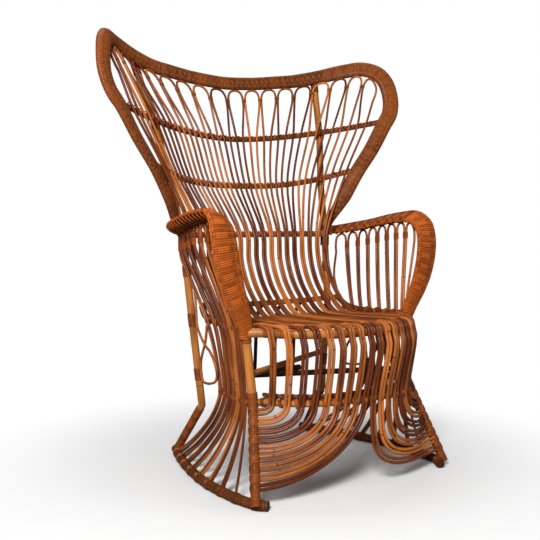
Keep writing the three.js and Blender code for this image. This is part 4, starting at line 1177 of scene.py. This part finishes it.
class CHAIR_OT_bindings(PieceOperator, bpy.types.Operator):
    """Adds the bindings under the rim and the arms, at the waist and along the seat's lip"""
    bl_idname = "chair.bindings"
    bl_label = "Bindings"

    def make(self, sizes):
        thin = thin_material("Thin cane")
        finish(self.loop_ties(), "loop_bindings", thin, "cane")
        finish(self.side_ties(), "side_bindings", thin, "cane")
        ties, lip, rope = self.waist_ties(), self.lip_strands(), self.rope_strands()
        finish(rope, "waist_rope", thin, "cane")
        finish(ties, "waist_bindings", thin, "cane")
        finish(lip, "lip_weave", thin, "cane")

    def loop_ties(self):
        ties = []
        for k in range(1 - BACK_LOOPS // 2, BACK_LOOPS // 2):
            high, low = (under_rim(k * LOOP_PITCH, drop) for drop in (0.03, 0.044))
            across = RIM.way(0.5 + k * LOOP_PITCH / RIM.length)
            ties.append(tie(0.3, 1, (high + low) / 2, low - high, across, *LOOP_TIE))
        for _, way in BOTH:
            for loop in range(SIDE_LOOPS - 1):
                y = SIDE_START + (loop + 0.5) * SIDE_PITCH
                high, low = (sided(under_arm(y, drop), way) for drop in (0.028, 0.046))
                ties.append(tie(0.5, 1, (high + low) / 2, low - high, (0, 1, 0), *SIDE_LOOP_TIE))
        return ties

    def side_ties(self):
        ties, up = [], (0, 0, 1)
        for (_, way), half in zip(BOTH, (RIGHT_SIDE, LEFT_SIDE)):
            for rail, columns in ((SEAT_LINE, half["columns"]), (WAIST_LINE, WAIST_COLUMNS)):
                for k, share in enumerate(columns):
                    middle = outside(rail, 0.0035, share * SEAT_DEPTH, rail[0][2])
                    for slant in (0.7, -0.7) if k < 6 else (0.7,):
                        ties.append(tie((k * 0.37 + slant) % 1, way, middle, (0, 1, slant), up,
                                        *RAIL_TIE))
            for share in RUNNER_COLUMNS + FOOT_COLUMNS:
                turn = helix(RUNNER_LINE.place(share), RUNNER_LINE.way(share), up, *RUNNER_TIE)
                turn[:, 2] = turn[:, 2].clip(RUNNER_TIE_RADIUS)
                ties.append(roll(sided(turn, way), RUNNER_TIE_RADIUS, sides=6, tone=share - 0.5))
        return ties

    def waist_ties(self):
        ties = []
        for k in range(BACK_LOOPS):
            x = (k - (BACK_LOOPS - 1) / 2) * WAIST_PITCH
            slope = (bow_at(WAIST_ARC, x + 0.001) - bow_at(WAIST_ARC, x - 0.001)) / 0.002
            ties.append(tie((k * 0.37) % 1, 1, at(x, bow_at(WAIST_ARC, x) - 0.0045, WAIST_Z),
                            (1, slope, 0.25), (0, 0, 1), *WAIST_TIE))
        return ties

    def lip_strands(self):
        strands = []
        for k, shift in enumerate(LIP_STRANDS):
            phase = np.pi * (k % 2)
            wave = np.cos(LIP_PLACES / LIP_PITCH * np.pi + phase)
            line = [at(x, bow_at(SEAT_ARC, x) + shift, LIP_Z + LIP_SWING * w)
                    for x, w in zip(LIP_PLACES, wave)]
            strands.append(roll(line, LIP_RADIUS, sides=8, tone=0.8 + 0.4 * np.cos(phase)))
        return strands

    # The rope's strands have a tone below zero: they are painted dark as shade along the top of the
    # waist rail
    def rope_strands(self):
        strands = []
        for phase in (0, np.pi):
            turns = LIP_PLACES / ROPE_PITCH * 2 * np.pi + phase
            line = [at(x, bow_at(WAIST_ARC, x) + ROPE_IN + ROPE_SWING * np.cos(turn),
                       WAIST_Z + ROPE_UP + ROPE_SWING * np.sin(turn))
                    for x, turn in zip(LIP_PLACES * 0.94, turns)]
            strands.append(roll(line, ROPE_RADIUS, sides=8, tone=-0.4))
        return strands


OPERATORS = (
    CHAIR_OT_stage, CHAIR_OT_runners, CHAIR_OT_legs, CHAIR_OT_posts, CHAIR_OT_rails,
    CHAIR_OT_rim, CHAIR_OT_arms, CHAIR_OT_bands, CHAIR_OT_back_canes, CHAIR_OT_side_canes,
    CHAIR_OT_bindings,
)


class CHAIR_PT_panel(bpy.types.Panel):
    """Lists the chair's sizes, colours and pieces"""
    bl_label = "Peacock Chair"
    bl_idname = "CHAIR_PT_panel"
    bl_space_type = "VIEW_3D"
    bl_region_type = "UI"
    bl_category = "Chair"

    def draw(self, context):
        for group in (context.scene.chair_sizes, context.scene.chair_colours):
            box = self.layout.box()
            for name in group.bl_rna.properties.keys():
                if name not in ("rna_type", "name"):
                    box.prop(group, name)
        for operator in OPERATORS:
            self.layout.operator(operator.bl_idname)


CLASSES = (ChairSizes, ChairColours, *OPERATORS, CHAIR_PT_panel)


def register():
    for cls in CLASSES:
        bpy.utils.register_class(cls)
    bpy.types.Scene.chair_sizes = bpy.props.PointerProperty(type=ChairSizes)
    bpy.types.Scene.chair_colours = bpy.props.PointerProperty(type=ChairColours)


def unregister():
    del bpy.types.Scene.chair_sizes, bpy.types.Scene.chair_colours
    for cls in reversed(CLASSES):
        bpy.utils.unregister_class(cls)


def main():
    register()
    for operator in OPERATORS:
        getattr(bpy.ops.chair, operator.bl_idname.split(".")[1])()


if __name__ == "__main__":
    main()
